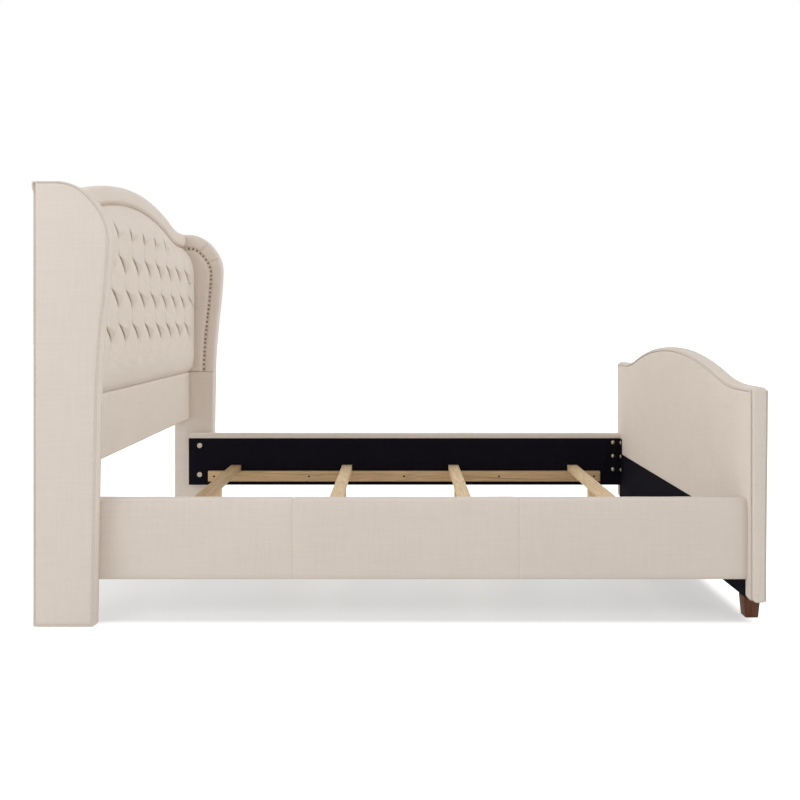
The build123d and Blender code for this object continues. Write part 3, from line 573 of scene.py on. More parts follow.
def maths(tree, operation, *values):
    """What one sum gives, its values set or linked."""
    return add(tree, "ShaderNodeMath", dict(enumerate(values)), operation=operation).outputs[0]


def sum_of(tree, first, second, share):
    """first plus share times second."""
    return maths(tree, "ADD", first, maths(tree, "MULTIPLY", second, share))


def ranged(tree, value, *limits, **settings):
    """A value carried from one range to another."""
    names = ("From Min", "From Max", "To Min", "To Max")
    inputs = {"Value": value, **dict(zip(names, limits))}
    return add(tree, "ShaderNodeMapRange", inputs, **settings).outputs["Result"]


def mixed(tree, share, first, second):
    """A colour that goes from the first to the second with share."""
    return add(tree, "ShaderNodeMix", {"Factor": share, 6: first, 7: second}, data_type="RGBA").outputs[2]


def tinted(tree, base, low, high, factor):
    """A colour that goes from base times low to base times high with factor."""
    ramp = add(tree, "ShaderNodeValToRGB", {"Fac": factor})
    for element, share in zip(ramp.color_ramp.elements, (low, high)):
        element.color = [min(1.0, channel * share) for channel in base] + [1]
    return ramp.outputs["Color"]


def noise(tree, place, scale, detail=2.0):
    return add(tree, "ShaderNodeTexNoise", {"Vector": place, "Scale": scale, "Detail": detail}).outputs["Fac"]


def stretched_noise(tree, place, scale, detail, roughness=0.55):
    """Noise drawn out along one direction by the three scales."""
    mapping = add(tree, "ShaderNodeMapping", {"Vector": place, "Scale": scale})
    return add(
        tree, "ShaderNodeTexNoise",
        {"Vector": mapping.outputs["Vector"], "Scale": 1.0, "Detail": detail, "Roughness": roughness},
    ).outputs["Fac"]


def threads(tree, cloth, along, across, detail):
    """Noise drawn out along both threads of a cloth."""
    scales = ((along, across, 1), (across, along, 1))
    return maths(tree, "ADD", *(stretched_noise(tree, cloth, scale, detail) for scale in scales))


def new_finish(name, roughness, metallic=0.0, shine=0.5, sheen=0.0):
    """A material, its nodes, and the coordinates that its pattern can lie in."""
    if name in bpy.data.materials:
        bpy.data.materials.remove(bpy.data.materials[name])
    material = bpy.data.materials.new(name)
    material.use_nodes = True
    tree = material.node_tree
    shader = tree.nodes["Principled BSDF"].inputs
    shader["Roughness"].default_value = roughness
    shader["Metallic"].default_value = metallic
    shader["Specular IOR Level"].default_value = shine
    shader["Sheen Weight"].default_value = sheen
    return material, tree, add(tree, "ShaderNodeTexCoord").outputs


def surface(tree, tint, relief=None, roughness=None):
    """Gives the shader its colour, a relief as (height, strength, depth) and a patchy roughness."""
    links = {"Base Color": tint, "Roughness": roughness}
    if relief:
        bump = add(tree, "ShaderNodeBump", dict(zip(("Height", "Strength", "Distance"), relief)))
        links["Normal"] = bump.outputs["Normal"]
    for socket, value in links.items():
        if value is not None:
            tree.links.new(value, tree.nodes["Principled BSDF"].inputs[socket])


def woven(name, base, low, high, pitch=0.0011, sheen=0.10, slub=0.35, shine=0.2, folds=False):
    """Plain woven cloth: crossing threads, slubs along both, a slow change of tone and painted fold shade."""
    material, tree, place = new_finish(name, 0.92, shine=shine, sheen=sheen)
    cloth = place["UV"]
    thread = TAU / (20 * pitch)
    wave = {"Vector": cloth, "Scale": thread, "Distortion": 1.6, "Detail": 2.0, "Detail Scale": 0.6}
    waves = [add(tree, "ShaderNodeTexWave", wave, bands_direction=way).outputs["Fac"] for way in "XY"]
    weave = maths(tree, "MULTIPLY", *waves)
    slubs = threads(tree, cloth, 28, 620, 3.0)
    tone = sum_of(tree, weave, slubs, slub)
    tone = sum_of(tree, tone, noise(tree, place["Object"], 7.0), 0.35)
    tone = sum_of(tree, tone, threads(tree, cloth, 7, 130, 2.0), 0.5)
    tint = tinted(tree, base, low, high, ranged(tree, tone, 0.80, 1.80))
    # Where asked, the folds are darkened here with painted shade, read from the piece's second coordinates.
    if folds:
        depth = add(tree, "ShaderNodeUVMap", uv_map="folds").outputs["UV"]
        painted_fold_shade = add(tree, "ShaderNodeSeparateXYZ", {"Vector": depth}).outputs["X"]
        tint = mixed(tree, painted_fold_shade, tint, FOLD_SHADE_COLOUR)
    surface(tree, tint, (sum_of(tree, weave, slubs, 0.8), 0.35, 0.0006))
    return material


def wood(name, base, grain, low=0.72, high=1.12, knot_size=0.0, roughness=0.6, shine=0.5):
    """Sawn wood with its grain along one axis, and dark knots where they have a size."""
    material, tree, place = new_finish(name, roughness, shine=shine)
    solid = place["Object"]

    def scales(across, along):
        return [along if axis == grain else across for axis in "XYZ"]

    fibres = stretched_noise(tree, solid, scales(320.0, 9.0), 4.0, 0.65)
    figure = stretched_noise(tree, solid, scales(24.0, 1.1), 2.0)
    rings = maths(tree, "PINGPONG", maths(tree, "MULTIPLY", figure, 26.0), 1.0)
    tone = sum_of(tree, fibres, rings, 0.55)
    if knot_size:
        spread = add(tree, "ShaderNodeMapping", {"Vector": solid, "Scale": scales(9.0, 3.2)})
        cell = add(tree, "ShaderNodeTexVoronoi", {"Vector": spread.outputs["Vector"], "Scale": 1.0})
        tone = maths(tree, "ADD", tone, ranged(tree, cell.outputs["Distance"], 0.0, knot_size, -0.9, 0.0))
    surface(tree, tinted(tree, base, low, high, ranged(tree, tone, 0.2, 1.2)), (tone, 0.25, 0.0005))
    return material


def metal(name, base, roughness, low=0.55, high=1.3, highlight_below_x=None):
    """Plated metal, slightly patchy in its colour and shine, with a painted highlight below a given X."""
    material, tree, place = new_finish(name, roughness, 1.0)
    patches = noise(tree, place["Object"], 220.0, 3.0)
    tint = tinted(tree, base, low, high, patches)
    # Below the given X the metal is painted paler: a painted highlight.
    if highlight_below_x is not None:
        pale = tinted(tree, [PAINTED_HIGHLIGHT * channel for channel in base], low, high, patches)
        along = add(tree, "ShaderNodeSeparateXYZ", {"Vector": place["Object"]}).outputs["X"]
        tint = mixed(tree, maths(tree, "LESS_THAN", along, highlight_below_x), tint, pale)
    surface(tree, tint, roughness=ranged(tree, patches, 0, 1, roughness - 0.12, roughness + 0.15))
    return material


def coated(name, base, roughness):
    """Powder coat or moulded plastic with a fine even grain."""
    material, tree, place = new_finish(name, roughness, shine=0.12)
    grain = noise(tree, place["Object"], 900.0)
    surface(tree, tinted(tree, base, 0.8, 1.25, grain), (grain, 0.2, 0.0003))
    return material


FINISHES = {}


def make_finishes():
    """All the bed's materials by name."""
    shades = {name: tuple(getattr(sizes("colours"), name)) for name in BED_PG_colours.__annotations__}
    linen, pine = shades["linen"], shades["pine"]
    shaded = [share * channel for share, channel in zip(DARK_PINE, pine)]
    FINISHES.update(
        linen=woven("Linen", linen, 0.90, 1.06),
        tufted=woven("Tufted linen", linen, 0.90, 1.06, folds=True),
        # The welts are tinted darker than the linen: painted shade for the seams beside them.
        welt=woven("Linen welt", linen, 0.78, 0.97),
        black=woven("Black cloth", shades["black"], 0.6, 1.9, pitch=0.0009, sheen=0.0, slub=0.5, shine=0.05),
        ledger=wood("Ledger pine", shades["ledger"], "X", 0.72, 1.14, KNOT_SIZE),
        pine_dark=wood("Dark pine", shaded, "Y", 0.66, 1.16, KNOT_SIZE),
        plywood=wood("Plywood", (0.52, 0.36, 0.21), "Y"),
        walnut=wood("Walnut", shades["walnut"], "Z", 0.55, 1.35, roughness=0.42, shine=0.25),
        brass=metal("Antique brass", shades["brass"], 0.38, highlight_below_x=PANEL_FRONT_X + 0.010),
        bolt=metal("Plated bolts", shades["bolt"], 0.34, 0.75, 1.2),
        zinc=metal("Zinc", shades["zinc"], 0.4, 0.8, 1.15),
        bracket=coated("Black steel", (0.0035, 0.0032, 0.0050), 0.8),
        glide=coated("Glide", (0.045, 0.042, 0.040), 0.55),
    )
    for axis in "XYZ":
        FINISHES[f"pine_{axis}"] = wood(f"Pine {axis}", pine, axis, 0.72, 1.14, KNOT_SIZE)
        FINISHES[f"hardwood_{axis}"] = wood(f"Hardwood {axis}", (0.42, 0.27, 0.15), axis)


# The CAD pieces that stay, by their finish
CAD_FINISHES = {
    "hardwood_X": ["left_rail_board", "right_rail_board"],
    "hardwood_Y": ["headboard_cross_rails", "footboard_frame"],
    "hardwood_Z": ["headboard_posts", "left_wing_frame", "right_wing_frame"],
    "plywood": ["headboard_panel"],
    "brass": ["nailheads"],
    "bolt": ["head_bolts", "corner_bolts"],
    "zinc": ["wing_bolts", "foot_leg_bolts", "threaded_inserts", "slat_screws"],
    "bracket": ["corner_brackets", "ledger_screws"],
    "glide": ["wing_glides", *(f"{slat}_{word}_foot" for slat in SLATS for word in SIDES)],
}


# Laying flat shapes in space
def lay_yz(flat_y, flat_z, across):
    """Shapes drawn in Y and Z, with X across them."""
    return np.stack([across, flat_y, flat_z], axis=1)


def lay_wing(side):
    """Shapes drawn in X and Z, with Y across them, on one side of the bed."""
    return lambda flat_x, flat_z, across: np.stack([flat_x, side * across, flat_z], axis=1)


# Headboard
def tuft_relief(y, z):
    """How far the tufted cloth stands from the plywood, how far it laps sideways and down, and its shade."""
    group = sizes("headboard")
    rise = head_arch().shoulder - SEAM_Z
    low, high = (SEAM_Z + rise * share for share in DIMPLE_ROWS)
    pitch = (high - low) / 3
    half_pitch = HEADBOARD_HALF / group.columns
    column, row = y / half_pitch + 1, (z - low) / pitch
    inside = np.clip(row, -1.0, 4.0)
    up = inside - np.floor(inside)
    # The folds that lean left leave each dimple steeply and bend over on the way up.
    lean_left = (column + np.floor(inside) + np.minimum(up / 0.72, 1) ** 2.2) % 2
    lean_right = (column - inside) % 2
    # Shares of the way from a fold to the middle between two folds: 0 on the fold, 1 in the middle.
    left = 1 - np.abs(lean_left - 1)
    right = 1 - np.abs(lean_right - 1)
    one, two = np.sin(math.pi / 2 * left), np.sin(math.pi / 2 * right)
    either = 1 - (1 - one) * (1 - two)
    # The folds are strong above each dimple and nearly smooth on the way to the next row.
    begin = smooth_step(up, 0.0, 0.14)
    falling = 0.40 + 0.60 * begin * (1 - smooth_step(up, 0.60, 0.85))
    rising = 0.30 + 0.18 * begin * (1 - smooth_step(up, 0.25, 0.60))
    full = (1 - falling * (1 - one**0.17)) * (1 - rising * (1 - two**0.30))
    puff = group.crown - group.valley
    height = group.crown - puff * (1 - full) - group.dome * (1 - one * two)
    height -= (group.valley - group.dimple) * (1 - either**0.22)
    apart = half_pitch * pitch / math.hypot(half_pitch, pitch)
    rows = np.where((row < 0) | (row > 3.75), 0, 1 - 0.4 * smooth_step(row, 2.95, 3.05))
    keen = rows * (0.65 * smooth_step(up, 0.0, 0.05) + 0.35 * smooth_step(up, 0.08, 0.34))
    keen *= (1 - smooth_step(up, 0.44, 0.72)) * (0.82 + 0.30 * ripple(y, z, 0.33))
    short = rows * smooth_step(up, 0.0, 0.04) * (1 - smooth_step(up, 0.10, 0.32))
    # Each upper puff's cloth laps over the lower puff beside it, towards (y, z).
    slope = np.array([-pitch, -half_pitch]) / math.hypot(half_pitch, pitch)
    shift_y, shift_z, shade = np.zeros((3, len(y)))
    for strength, lapping, lapped, way in (
        (keen, lean_left, 2 - lean_left, 1),
        (0.6 * short, 2 - lean_right, lean_right, -1),
    ):
        upper, lower = (np.where(share < 1, share, 9.0) * apart for share in (lapping, lapped))
        sharp = np.exp(-np.minimum(upper, lower) / FOLD_BOTTOM)
        beside = np.where(lapped < 1, np.exp(-lower / FOLD_BESIDE) - np.exp(-lower / FOLD_BOTTOM), 0)
        height = height - strength * (group.fold * sharp + group.dip * beside)
        lip = group.lap * strength * upper / FOLD_LIP * np.exp(1 - upper / FOLD_LIP)
        shift_y += way * slope[0] * lip
        shift_z += slope[1] * lip
        # The shade under each lip is painted into the cloth's colour later.
        shade = np.maximum(shade, strength * np.exp(-((upper / FOLD_SHADE) ** 2)))
    # Below the lowest row the puffs run out into the plain part.
    below = smooth_step(row, -0.50, 0.05)
    plain = group.plain_crown + 0.0008 * ripple(y, z, 0.16)
    height = np.where(row < 0.05, plain + (height - plain) * below, height)
    # Above the top row the folds turn into upright pleats that run to the border.
    pleat = np.sin(math.pi / 2 * (1 - np.abs((column + 3) % 2 - 1)))
    pleated = group.crown - 0.010 * (1 - pleat**0.4)
    above = smooth_step(row, 3.25, 3.8)
    height = np.where(row > 3, height + (pleated - height) * above, height)
    # At both sides the cloth is drawn smooth.
    side = smooth_step(np.abs(y), HEADBOARD_HALF - 0.070, HEADBOARD_HALF - 0.040)
    height += side * (group.crown - height)
    return height, shift_y, shift_z, shade


def tufted_pad():
    """The tufted part of the headboard, and how strongly each of its points is shaded by a fold."""
    group = sizes("headboard")
    arch = head_arch()
    inset = group.border_height + group.nail_channel / 2
    across, up = np.linspace(-1, 1, 721), np.linspace(0, 1, 273)
    shade = np.zeros(len(across) * len(up))
    edge, top_round, seam_round, side_round = 0.005, 0.095, 0.130, 0.030

    def place(share_y, share_z):
        y = share_y * HEADBOARD_HALF
        top = arch.height(y, inset)
        z = TUFTED_LOW.z + share_z * (top - TUFTED_LOW.z)
        height, shift_y, shift_z, shade[:] = tuft_relief(y, z)
        crown = np.sin(math.pi / 2 * np.clip((top - z) / top_round, 0, 1))
        height = edge + (height - edge) * crown
        swell = edge_round(z - TUFTED_LOW.z, seam_round)
        height = np.minimum(height, group.seam_height + (height - group.seam_height) * swell)
        height *= 0.12 + 0.88 * edge_round(HEADBOARD_HALF - np.abs(y), side_round)
        height += 0.0004 * ripple(y, z, 0.055)
        room = np.minimum(crown, edge_round(z - TUFTED_LOW.z, 0.06))
        droop = group.sag * np.maximum(height - group.valley, 0)
        return np.stack([PANEL_FRONT_X + height, y + room * shift_y, z + room * (shift_z - droop)], axis=1)

    piece = padded_front("tufted_pad", across, up, place, 0, PANEL_FRONT_X)
    return piece, np.concatenate([shade, np.zeros(len(piece.data.vertices) - len(shade))])


def border_section():
    """The border's section as (inset from the arch, X), closed round."""
    group = sizes("headboard")
    strip = group.border_height + group.nail_channel / 2
    edge = group.border_height - group.nail_channel / 2
    front = PANEL_FRONT_X + 0.0115
    flange = PANEL_FRONT_X + group.flange
    corners = [
        (strip, PANEL_FRONT_X, 0.0005),
        (strip, flange, 0.001),
        (edge + 0.001, flange, 0.001),
        (edge - 0.006, front - 0.001, 0.006),
        (edge * 0.5, front + 0.002, 0.015),
        (0.002, front - 0.001, 0.012),
        (-0.0015, (PANEL_FRONT_X + BACK_X) / 2, 0.03),
        (0.001, BACK_X + 0.001, 0.010),
        (0.012, BACK_X, 0.001),
        (BACK_CLOTH_INSET, BACK_X + 0.002, 0.001),
        (BACK_CLOTH_INSET, PANEL_FRONT_X, 0.0005),
    ]
    return ring(corners, 84)


def headboard_border():
    """The padded border along the arch, rolled over the top to the back."""
    piece = swept("headboard_border_roll", head_arch().line(260), border_section(), lay_yz)
    co = points_of(piece)
    swell = ripple(co[:, 1], co[:, 2] + co[:, 0], 0.21)
    front = smooth_step(co[:, 0], PANEL_FRONT_X, PANEL_FRONT_X + 0.01)
    end = 1 - edge_round(HEADBOARD_HALF - np.abs(co[:, 1]), 0.007)
    co[:, 0] += front * (0.0009 * swell - 0.006 * end)
    limit = HEADBOARD_HALF - 0.0003
    co[:, 1] = np.clip(co[:, 1], -limit, limit)
    move_points(piece, co)
    return piece


def lower_pad():
    """The plain part of the headboard, below the seam."""
    thick = LOWER_PAD_HIGH.x - LOWER_PAD_LOW.x
    bottom = LOWER_PAD_LOW.z - 0.008
    across = knots(-1, (-0.96, 14), (0.96, 120), (1, 14))
    up = knots(0, (0.1, 12), (0.9, 22), (1, 8))

    def place(share_y, share_z):
        y = share_y * HEADBOARD_HALF
        z = bottom + share_z * (LOWER_PAD_HIGH.z - bottom)
        side = edge_round(HEADBOARD_HALF - np.abs(y), 0.014)
        low = edge_round(z - bottom, 0.012)
        high = edge_round(LOWER_PAD_HIGH.z - z, 0.012)
        height = thick * (0.25 + 0.75 * side) * (0.30 + 0.70 * low) * (0.6 + 0.4 * high)
        height += 0.0007 * ripple(y, z, 0.19) * side * low
        return np.stack([PANEL_FRONT_X + height, y, z], axis=1)

    return padded_front("lower_pad", across, up, place, 0, PANEL_FRONT_X)


def back_cloth():
    """The cloth over the headboard's back, and its area."""
    low, high = BACK_LOW, BACK_HIGH

    def top(y):
        return head_arch().height(np.clip(y, -RAIL_Y, RAIL_Y), BACK_CLOTH_INSET)

    def place(share_y, share_z):
        y = share_y * high.y
        z = low.z + share_z * (top(y) - low.z)
        near = np.minimum(high.y - np.abs(y), np.minimum(top(y) - z, z - low.z))
        sag = 0.0012 * smooth_step(near, 0.0, 0.08) * (1 + 0.5 * ripple(y, z, 0.3))
        return np.stack([low.x + sag, y, z], axis=1)

    across, up = np.linspace(-1, 1, 121), np.linspace(0, 1, 61)
    piece = padded_front("headboard_back_cloth", across, up, place, 0, high.x)
    return piece, (high.y - low.y) * float(np.mean(top(np.linspace(low.y, high.y, 400)) - low.z))


# Wings
def wing_line(count):
    """The wing's front edge above the seam and its flat top back to the headboard, evenly spaced."""
    line = wing_front()
    line = line[line[:, 1] > SEAM_Z]
    return even(np.vstack([[front_reach(SEAM_Z), SEAM_Z], line, [PANEL_FRONT_X, line[-1, 1]]]), count)


def wing_outline(count):
    """The whole outline of a wing, drawn leftwards round from the floor at the front."""
    line = wing_front()
    foot, top = line[0], line[-1]
    roll = [(0.004, 0.0, 0.004), (-0.0045, -0.001, 0.006), (-0.0045, -0.022, 0.008), (0.0, -0.034, 0.008)]
    corners = [(top[0], top[1], 0)] + [(BACK_X + x, top[1] + z, radius) for x, z, radius in roll]
    back = rounded(corners + [(BACK_X, foot[1], 0)], closed=False)
    return even(np.vstack([line, back[1:]]), count, closed=True)


def wing_boxing(side, name):
    """The band round the wing's edge."""
    inner, outer = WING_SEAT_Y, WING_COVER_Y
    corners = [
        (0.0115, inner, 0.001),
        (0.001, inner, 0.003),
        (-0.0012, (inner + outer) / 2, 0.02),
        (0.001, outer, 0.003),
        (0.0115, outer, 0.001),
    ]
    return swept(name, wing_outline(520), ring(corners, 30), lay_wing(side), closed=True)


def wing_border(side, name):
    """The band's turn on the wing's inner side, as far as the nails."""
    group = sizes("wings")
    channel = sizes("headboard").nail_channel
    top = head_arch().shoulder
    line = wing_line(440)
    drop = group.top_border - group.border_width
    run = run_along(line)
    rounding = np.interp(PLEAT_HEIGHTS, np.maximum.accumulate(line[:, 1]) + 1e-6 * run, run)
    rows = []
    for along, (x, z) in zip(run, line):
        pleat = PLEAT_DEPTH * float(np.exp(-(((along - rounding) / PLEAT_WIDTH) ** 2)).sum())
        width = group.border_width + drop * float(smooth_step(z, BORDER_WIDENS_Z, top - 0.004))
        edge, far = width - channel / 2, width + channel / 2
        corners = [
            (0.0005, WING_SEAT_Y, 0.001),
            (-0.0008, WING_SEAT_Y - 0.005, 0.006),
            (0.007, WING_INNER_Y + 0.001 + pleat, 0.007),
            (edge * 0.5, WING_INNER_Y - 0.0004 + pleat, 0.015),
            (edge - 0.005, WING_INNER_Y + 0.0015 + pleat, 0.006),
            (edge + 0.0005, WING_SEAT_Y - 0.003, 0.001),
            (far, WING_SEAT_Y - 0.003, 0.001),
            (far, WING_SEAT_Y, 0.001),
        ]
        rows.append(ring(corners, 56))
    return swept(name, line, np.array(rows), lay_wing(side))


def wing_inner_pad(side, name):
    """The plain padded field inside the wing's nails."""
    group = sizes("wings")
    clear = sizes("headboard").nail_channel / 2 + 0.0003
    inset = group.border_width + clear
    drop = group.top_border - group.border_width
    top = head_arch().shoulder - group.top_border - clear
    across = knots(0, (0.55, 14), (1, 30))
    up = knots(0, (0.04, 8), (0.75, 60), (1, 60))

    def place(share_x, share_z):
        z = SEAM_Z + share_z * (top - SEAM_Z)
        x = PANEL_FRONT_X + share_x * (front_reach(z, inset, drop) - PANEL_FRONT_X)
        line = wing_front()
        line = line + inward(line) * inset - np.array([0, drop])
        line = np.vstack([line[::4], [PANEL_FRONT_X, top]])
        gap = np.full(len(x), 1.0)
        for start, along in zip(line, np.diff(line, axis=0)):
            off_x, off_z = x - start[0], z - start[1]
            share = np.clip((off_x * along[0] + off_z * along[1]) / (along @ along + 1e-12), 0, 1)
            gap = np.minimum(gap, np.hypot(off_x - share * along[0], off_z - share * along[1]))
        edge, seam = edge_round(gap, 0.016), edge_round(z - SEAM_Z, 0.008)
        height = WING_PADDING * (0.12 + 0.88 * edge) * (0.25 + 0.75 * seam)
        height += 0.0004 * ripple(x, z, 0.09)
        return np.stack([x, side * (WING_SEAT_Y - height), z], axis=1)

    return padded_front(name, across, up, place, 1, side * WING_SEAT_Y)


def wing_lower_cover(side, name):
    """The plain cloth below the seam on the wing's inner side."""
    low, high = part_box("right_wing_lower_cover")
    notch = LOWER_PAD_LOW.z - 0.0003
    behind = 0.25
    across = knots(0, (behind, 4), (0.85, 16), (1, 14))
    up = knots(0, ((notch - low.z) / (high.z - low.z), 60), (0.98, 30), (1, 8))

    def place(share_x, share_z):
        z = low.z + share_z * (high.z - low.z)
        reach = front_reach(z)
        x = np.interp(share_x, [0, behind], [BACK_X, PANEL_FRONT_X])
        ahead = PANEL_FRONT_X + (share_x - behind) / (1 - behind) * (reach - PANEL_FRONT_X)
        x = np.where(share_x > behind, ahead, x)
        front, seam = edge_round(reach - x, 0.010), edge_round(high.z - z, 0.006)
        height = WING_PADDING * (0.10 + 0.90 * front) * (0.35 + 0.65 * seam)
        height += 0.0003 * ripple(x, z, 0.17) * front
        return np.stack([x, side * (WING_SEAT_Y - height), z], axis=1)

    def cut(centres):
        return (centres[:, 0] < PANEL_FRONT_X) & (centres[:, 2] > notch)

    return padded_front(name, across, up, place, 1, side * WING_SEAT_Y, cut)


def wing_outer_cover(side, name):
    """The smooth cover on the wing's outer side."""
    inset = 0.006
    back, low, top = BACK_X + inset, WING_LOW.z + inset, head_arch().shoulder - inset
    across = knots(0, (0.1, 10), (0.88, 36), (1, 12))
    up = knots(0, (0.02, 6), (0.75, 90), (0.97, 60), (1, 16))

    def place(share_x, share_z):
        z = low + share_z * (top - low)
        reach = front_reach(z, inset)
        x = back + share_x * (reach - back)
        near = np.minimum(np.minimum(reach - x, x - back), np.minimum(top - z, z - low))
        height = 0.0045 * (0.55 + 0.45 * edge_round(near, 0.010)) + 0.0016 * edge_round(near, 0.11)
        height += 0.0004 * ripple(x, z, 0.31)
        return np.stack([x, side * (WING_COVER_Y + height), z], axis=1)

    return padded_front(name, across, up, place, 1, side * WING_COVER_Y)


def cord_section(inset, across, radius=0.0031, count=12):
    """A round section for a welt."""
    turn = np.linspace(0, TAU, count, endpoint=False)
    return np.stack([inset + radius * np.cos(turn), across + radius * np.sin(turn)], axis=1)


def wing_welt(side, name):
    """The welt round the wing's outer side."""
    section = cord_section(0.0030, WING_COVER_Y + 0.0024)
    return swept(name, wing_outline(560), section, lay_wing(side), closed=True)


# Side rails
def rail_section():
    """The rail cover's section as (Y, Z), closed round."""
    inner, board, outer = LINING_LOW.y, LINING_HIGH.y, RAIL_Y
    top, bottom, turn = RAIL_HIGH.z, RAIL_LOW.z, LINING_HIGH.z
    corners = [
        (inner, turn, 0.001),
        (inner - 0.0006, top - 0.008, 0.010),
        (inner + 0.004, top + 0.0005, 0.008),
        ((inner + outer) / 2, top + 0.0018, 0.02),
        (outer - 0.006, top - 0.001, 0.016),
        (outer - 0.0015, top - 0.03, 0.03),
        (outer, (top + bottom) / 2, 0.09),
        (outer - 0.0025, bottom + 0.012, 0.012),
        (outer - 0.007, bottom, 0.006),
        (board, bottom, 0.001),
        (board, BOARD_LOW.z, 0.0005),
        (BOARD_HIGH.y, BOARD_LOW.z, 0.0005),
        (BOARD_HIGH.y, BOARD_HIGH.z, 0.0005),
        (board, BOARD_HIGH.z, 0.0005),
        (board, turn, 0.0005),
    ]
    return ring(corners, 150)


def rail_cover(side, name):
    """The padded cover of a side rail, with its two upright seams."""
    seams = [HEAD_X + share * (FOOT_X - HEAD_X) for share in RAIL_SEAMS]
    close = [seam + np.linspace(-0.02, 0.02, 25) for seam in seams]
    marks = np.sort(np.concatenate([np.linspace(HEAD_X, FOOT_X, 190), *close]))
    section = rail_section()
    piece, column, row = grid(name, len(marks) - 1, len(section))
    here = section[row % len(section)]
    x, y, z = marks[column], here[:, 0].copy(), here[:, 1].copy()
    outside = smooth_step(y, BOARD_HIGH.y, BOARD_HIGH.y + 0.004)
    above = smooth_step(z, BOARD_HIGH.z, BOARD_HIGH.z + 0.004)
    # Each seam pulls the cover in, narrowly at its stitches and softly beside them.
    pull = sum(
        depth * np.exp(-(((x - seam) / width) ** 2))
        for seam in seams
        for depth, width in ((0.0021, 0.0018), (0.0009, 0.010))
    )
    end = 1 - edge_round(np.minimum(x - HEAD_X, FOOT_X - x), 0.007)
    y += outside * (0.0009 * ripple(x, z, 0.33) - pull - 0.004 * end)
    z += above * (0.0011 * ripple(x, y, 0.24) - pull - 0.003 * end)
    move_points(piece, np.stack([x, side * y, z], axis=1))
    close_shell(fill=True)
    return piece


def rail_lining(side, name):
    """The black cloth over the rail's inner side."""
    return taut_cloth(name, LINING_LOW, LINING_HIGH, 1, side, (200, 30), 0.13, held_ends=False)


# Footboard
def rounded_foot(piece):
    """Takes the footboard's lower inner corner back to its rounding, and its outer face out at the top."""
    group = sizes("footboard")
    radius = group.corner_radius
    co = points_of(piece)
    outer = smooth_step(co[:, 0], FOOT_FRAME_LOW.x, FOOT_FRAME_HIGH.x)
    co[:, 0] += group.lean * outer * smooth_step(co[:, 2], FOOT_FRAME_LOW.z, WELT_HIGH.z)
    low = np.clip(FOOT_FRAME_LOW.z + radius - co[:, 2], 0, radius)
    corner = FOOT_X + radius - np.sqrt(radius**2 - low**2)
    co[:, 0] = np.where(np.abs(co[:, 1]) > BLACK_HIGH.y, np.maximum(co[:, 0], corner), co[:, 0])
    move_points(piece, co)
    return piece


def footboard_line(count):
    """The footboard's outline from the floor at +Y, over the arch and down at -Y."""
    arch = foot_arch()
    ends = [[arch.half, FOOT_FRAME_LOW.z]], [[-arch.half, FOOT_FRAME_LOW.z]]
    corners = [(y, z, 0) for y, z in np.vstack([ends[0], arch.line(600), ends[1]])]
    for shoulder in (1, -2):
        corners[shoulder] = (*corners[shoulder][:2], 0.004)
    return even(rounded(corners, closed=False), count)


def footboard_boxing():
    """The padded band over the footboard's arch and down its ends."""
    crown = sizes("footboard").boxing_crown
    low_x, high_x = FOOT_FRAME_LOW.x, FOOT_FRAME_HIGH.x
    corners = [
        (0.0078, low_x, 0.001),
        (0.0010, low_x + 0.0002, 0.002),
        (-crown * 0.85, low_x + 0.003, 0.010),
        (-crown - 0.001, (low_x + high_x) / 2, 0.02),
        (-crown * 0.85, high_x - 0.003, 0.010),
        (0.0010, high_x - 0.0002, 0.002),
        (0.0078, high_x, 0.001),
    ]
    return rounded_foot(swept("footboard_band", footboard_line(460), ring(corners, 44), lay_yz))


def footboard_pad(name, face_x, seat_x, cut_black):
    """The padded field on one side of the footboard, cut out for the black cloth on the inner side."""
    arch = foot_arch()
    inset = WELT_HIGH.x - FOOT_FRAME_HIGH.x
    half = arch.half - inset
    panel = BLACK_HIGH.y + 0.0003
    low, panel_top = FOOT_FRAME_LOW.z, BLACK_HIGH.z + 0.0003
    beside = 0.3
    across = knots(-half, (-panel, 10), (-panel + 0.06, 10), (panel - 0.06, 150), (panel, 10), (half, 10))
    up = knots(0, (beside, 50), (0.34, 10), (0.92, 70), (1, 16))
    depth = face_x - seat_x

    def place(y, share):
        top = arch.height(y, inset)
        upper = panel_top + (share - beside) / (1 - beside) * (top - panel_top)
        z = np.where(share < beside, low + share / beside * (panel_top - low), upper)
        near = np.minimum(half - np.abs(y), top - z)
        height = abs(depth) * (0.1 + 0.9 * edge_round(near, 0.010))
        field = smooth_step(near, 0, 0.14)
        if cut_black:
            over = np.where(np.abs(y) < panel, z - panel_top, 1.0)
            height = np.minimum(height, abs(depth) * (0.3 + 0.7 * edge_round(over, 0.005)))
            field *= smooth_step(z, panel_top, panel_top + 0.2)
        height += 0.0022 * field + 0.0006 * ripple(y, z, 0.37) * smooth_step(near, 0, 0.05)
        return np.stack([seat_x + math.copysign(1, depth) * height, y, z], axis=1)

    def cut(centres):
        return (np.abs(centres[:, 1]) < panel) & (centres[:, 2] < panel_top)

    return rounded_foot(padded_front(name, across, up, place, 0, seat_x, cut if cut_black else None))


def footboard_welt(name, across):
    """A welt along one edge of the footboard's band."""
    return rounded_foot(swept(name, footboard_line(560), cord_section(0.0032, across), lay_yz))


# Operators
class BED_OT_finishes(bpy.types.Operator):
    """Make the bed's materials and give them to the CAD pieces that stay"""

    bl_idname = "bed.finishes"
    bl_label = "Finishes"

    def execute(self, context):
        make_finishes()
        for finish, nodes in CAD_FINISHES.items():
            for node in nodes:
                paint(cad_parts[node], finish)
        return {"FINISHED"}


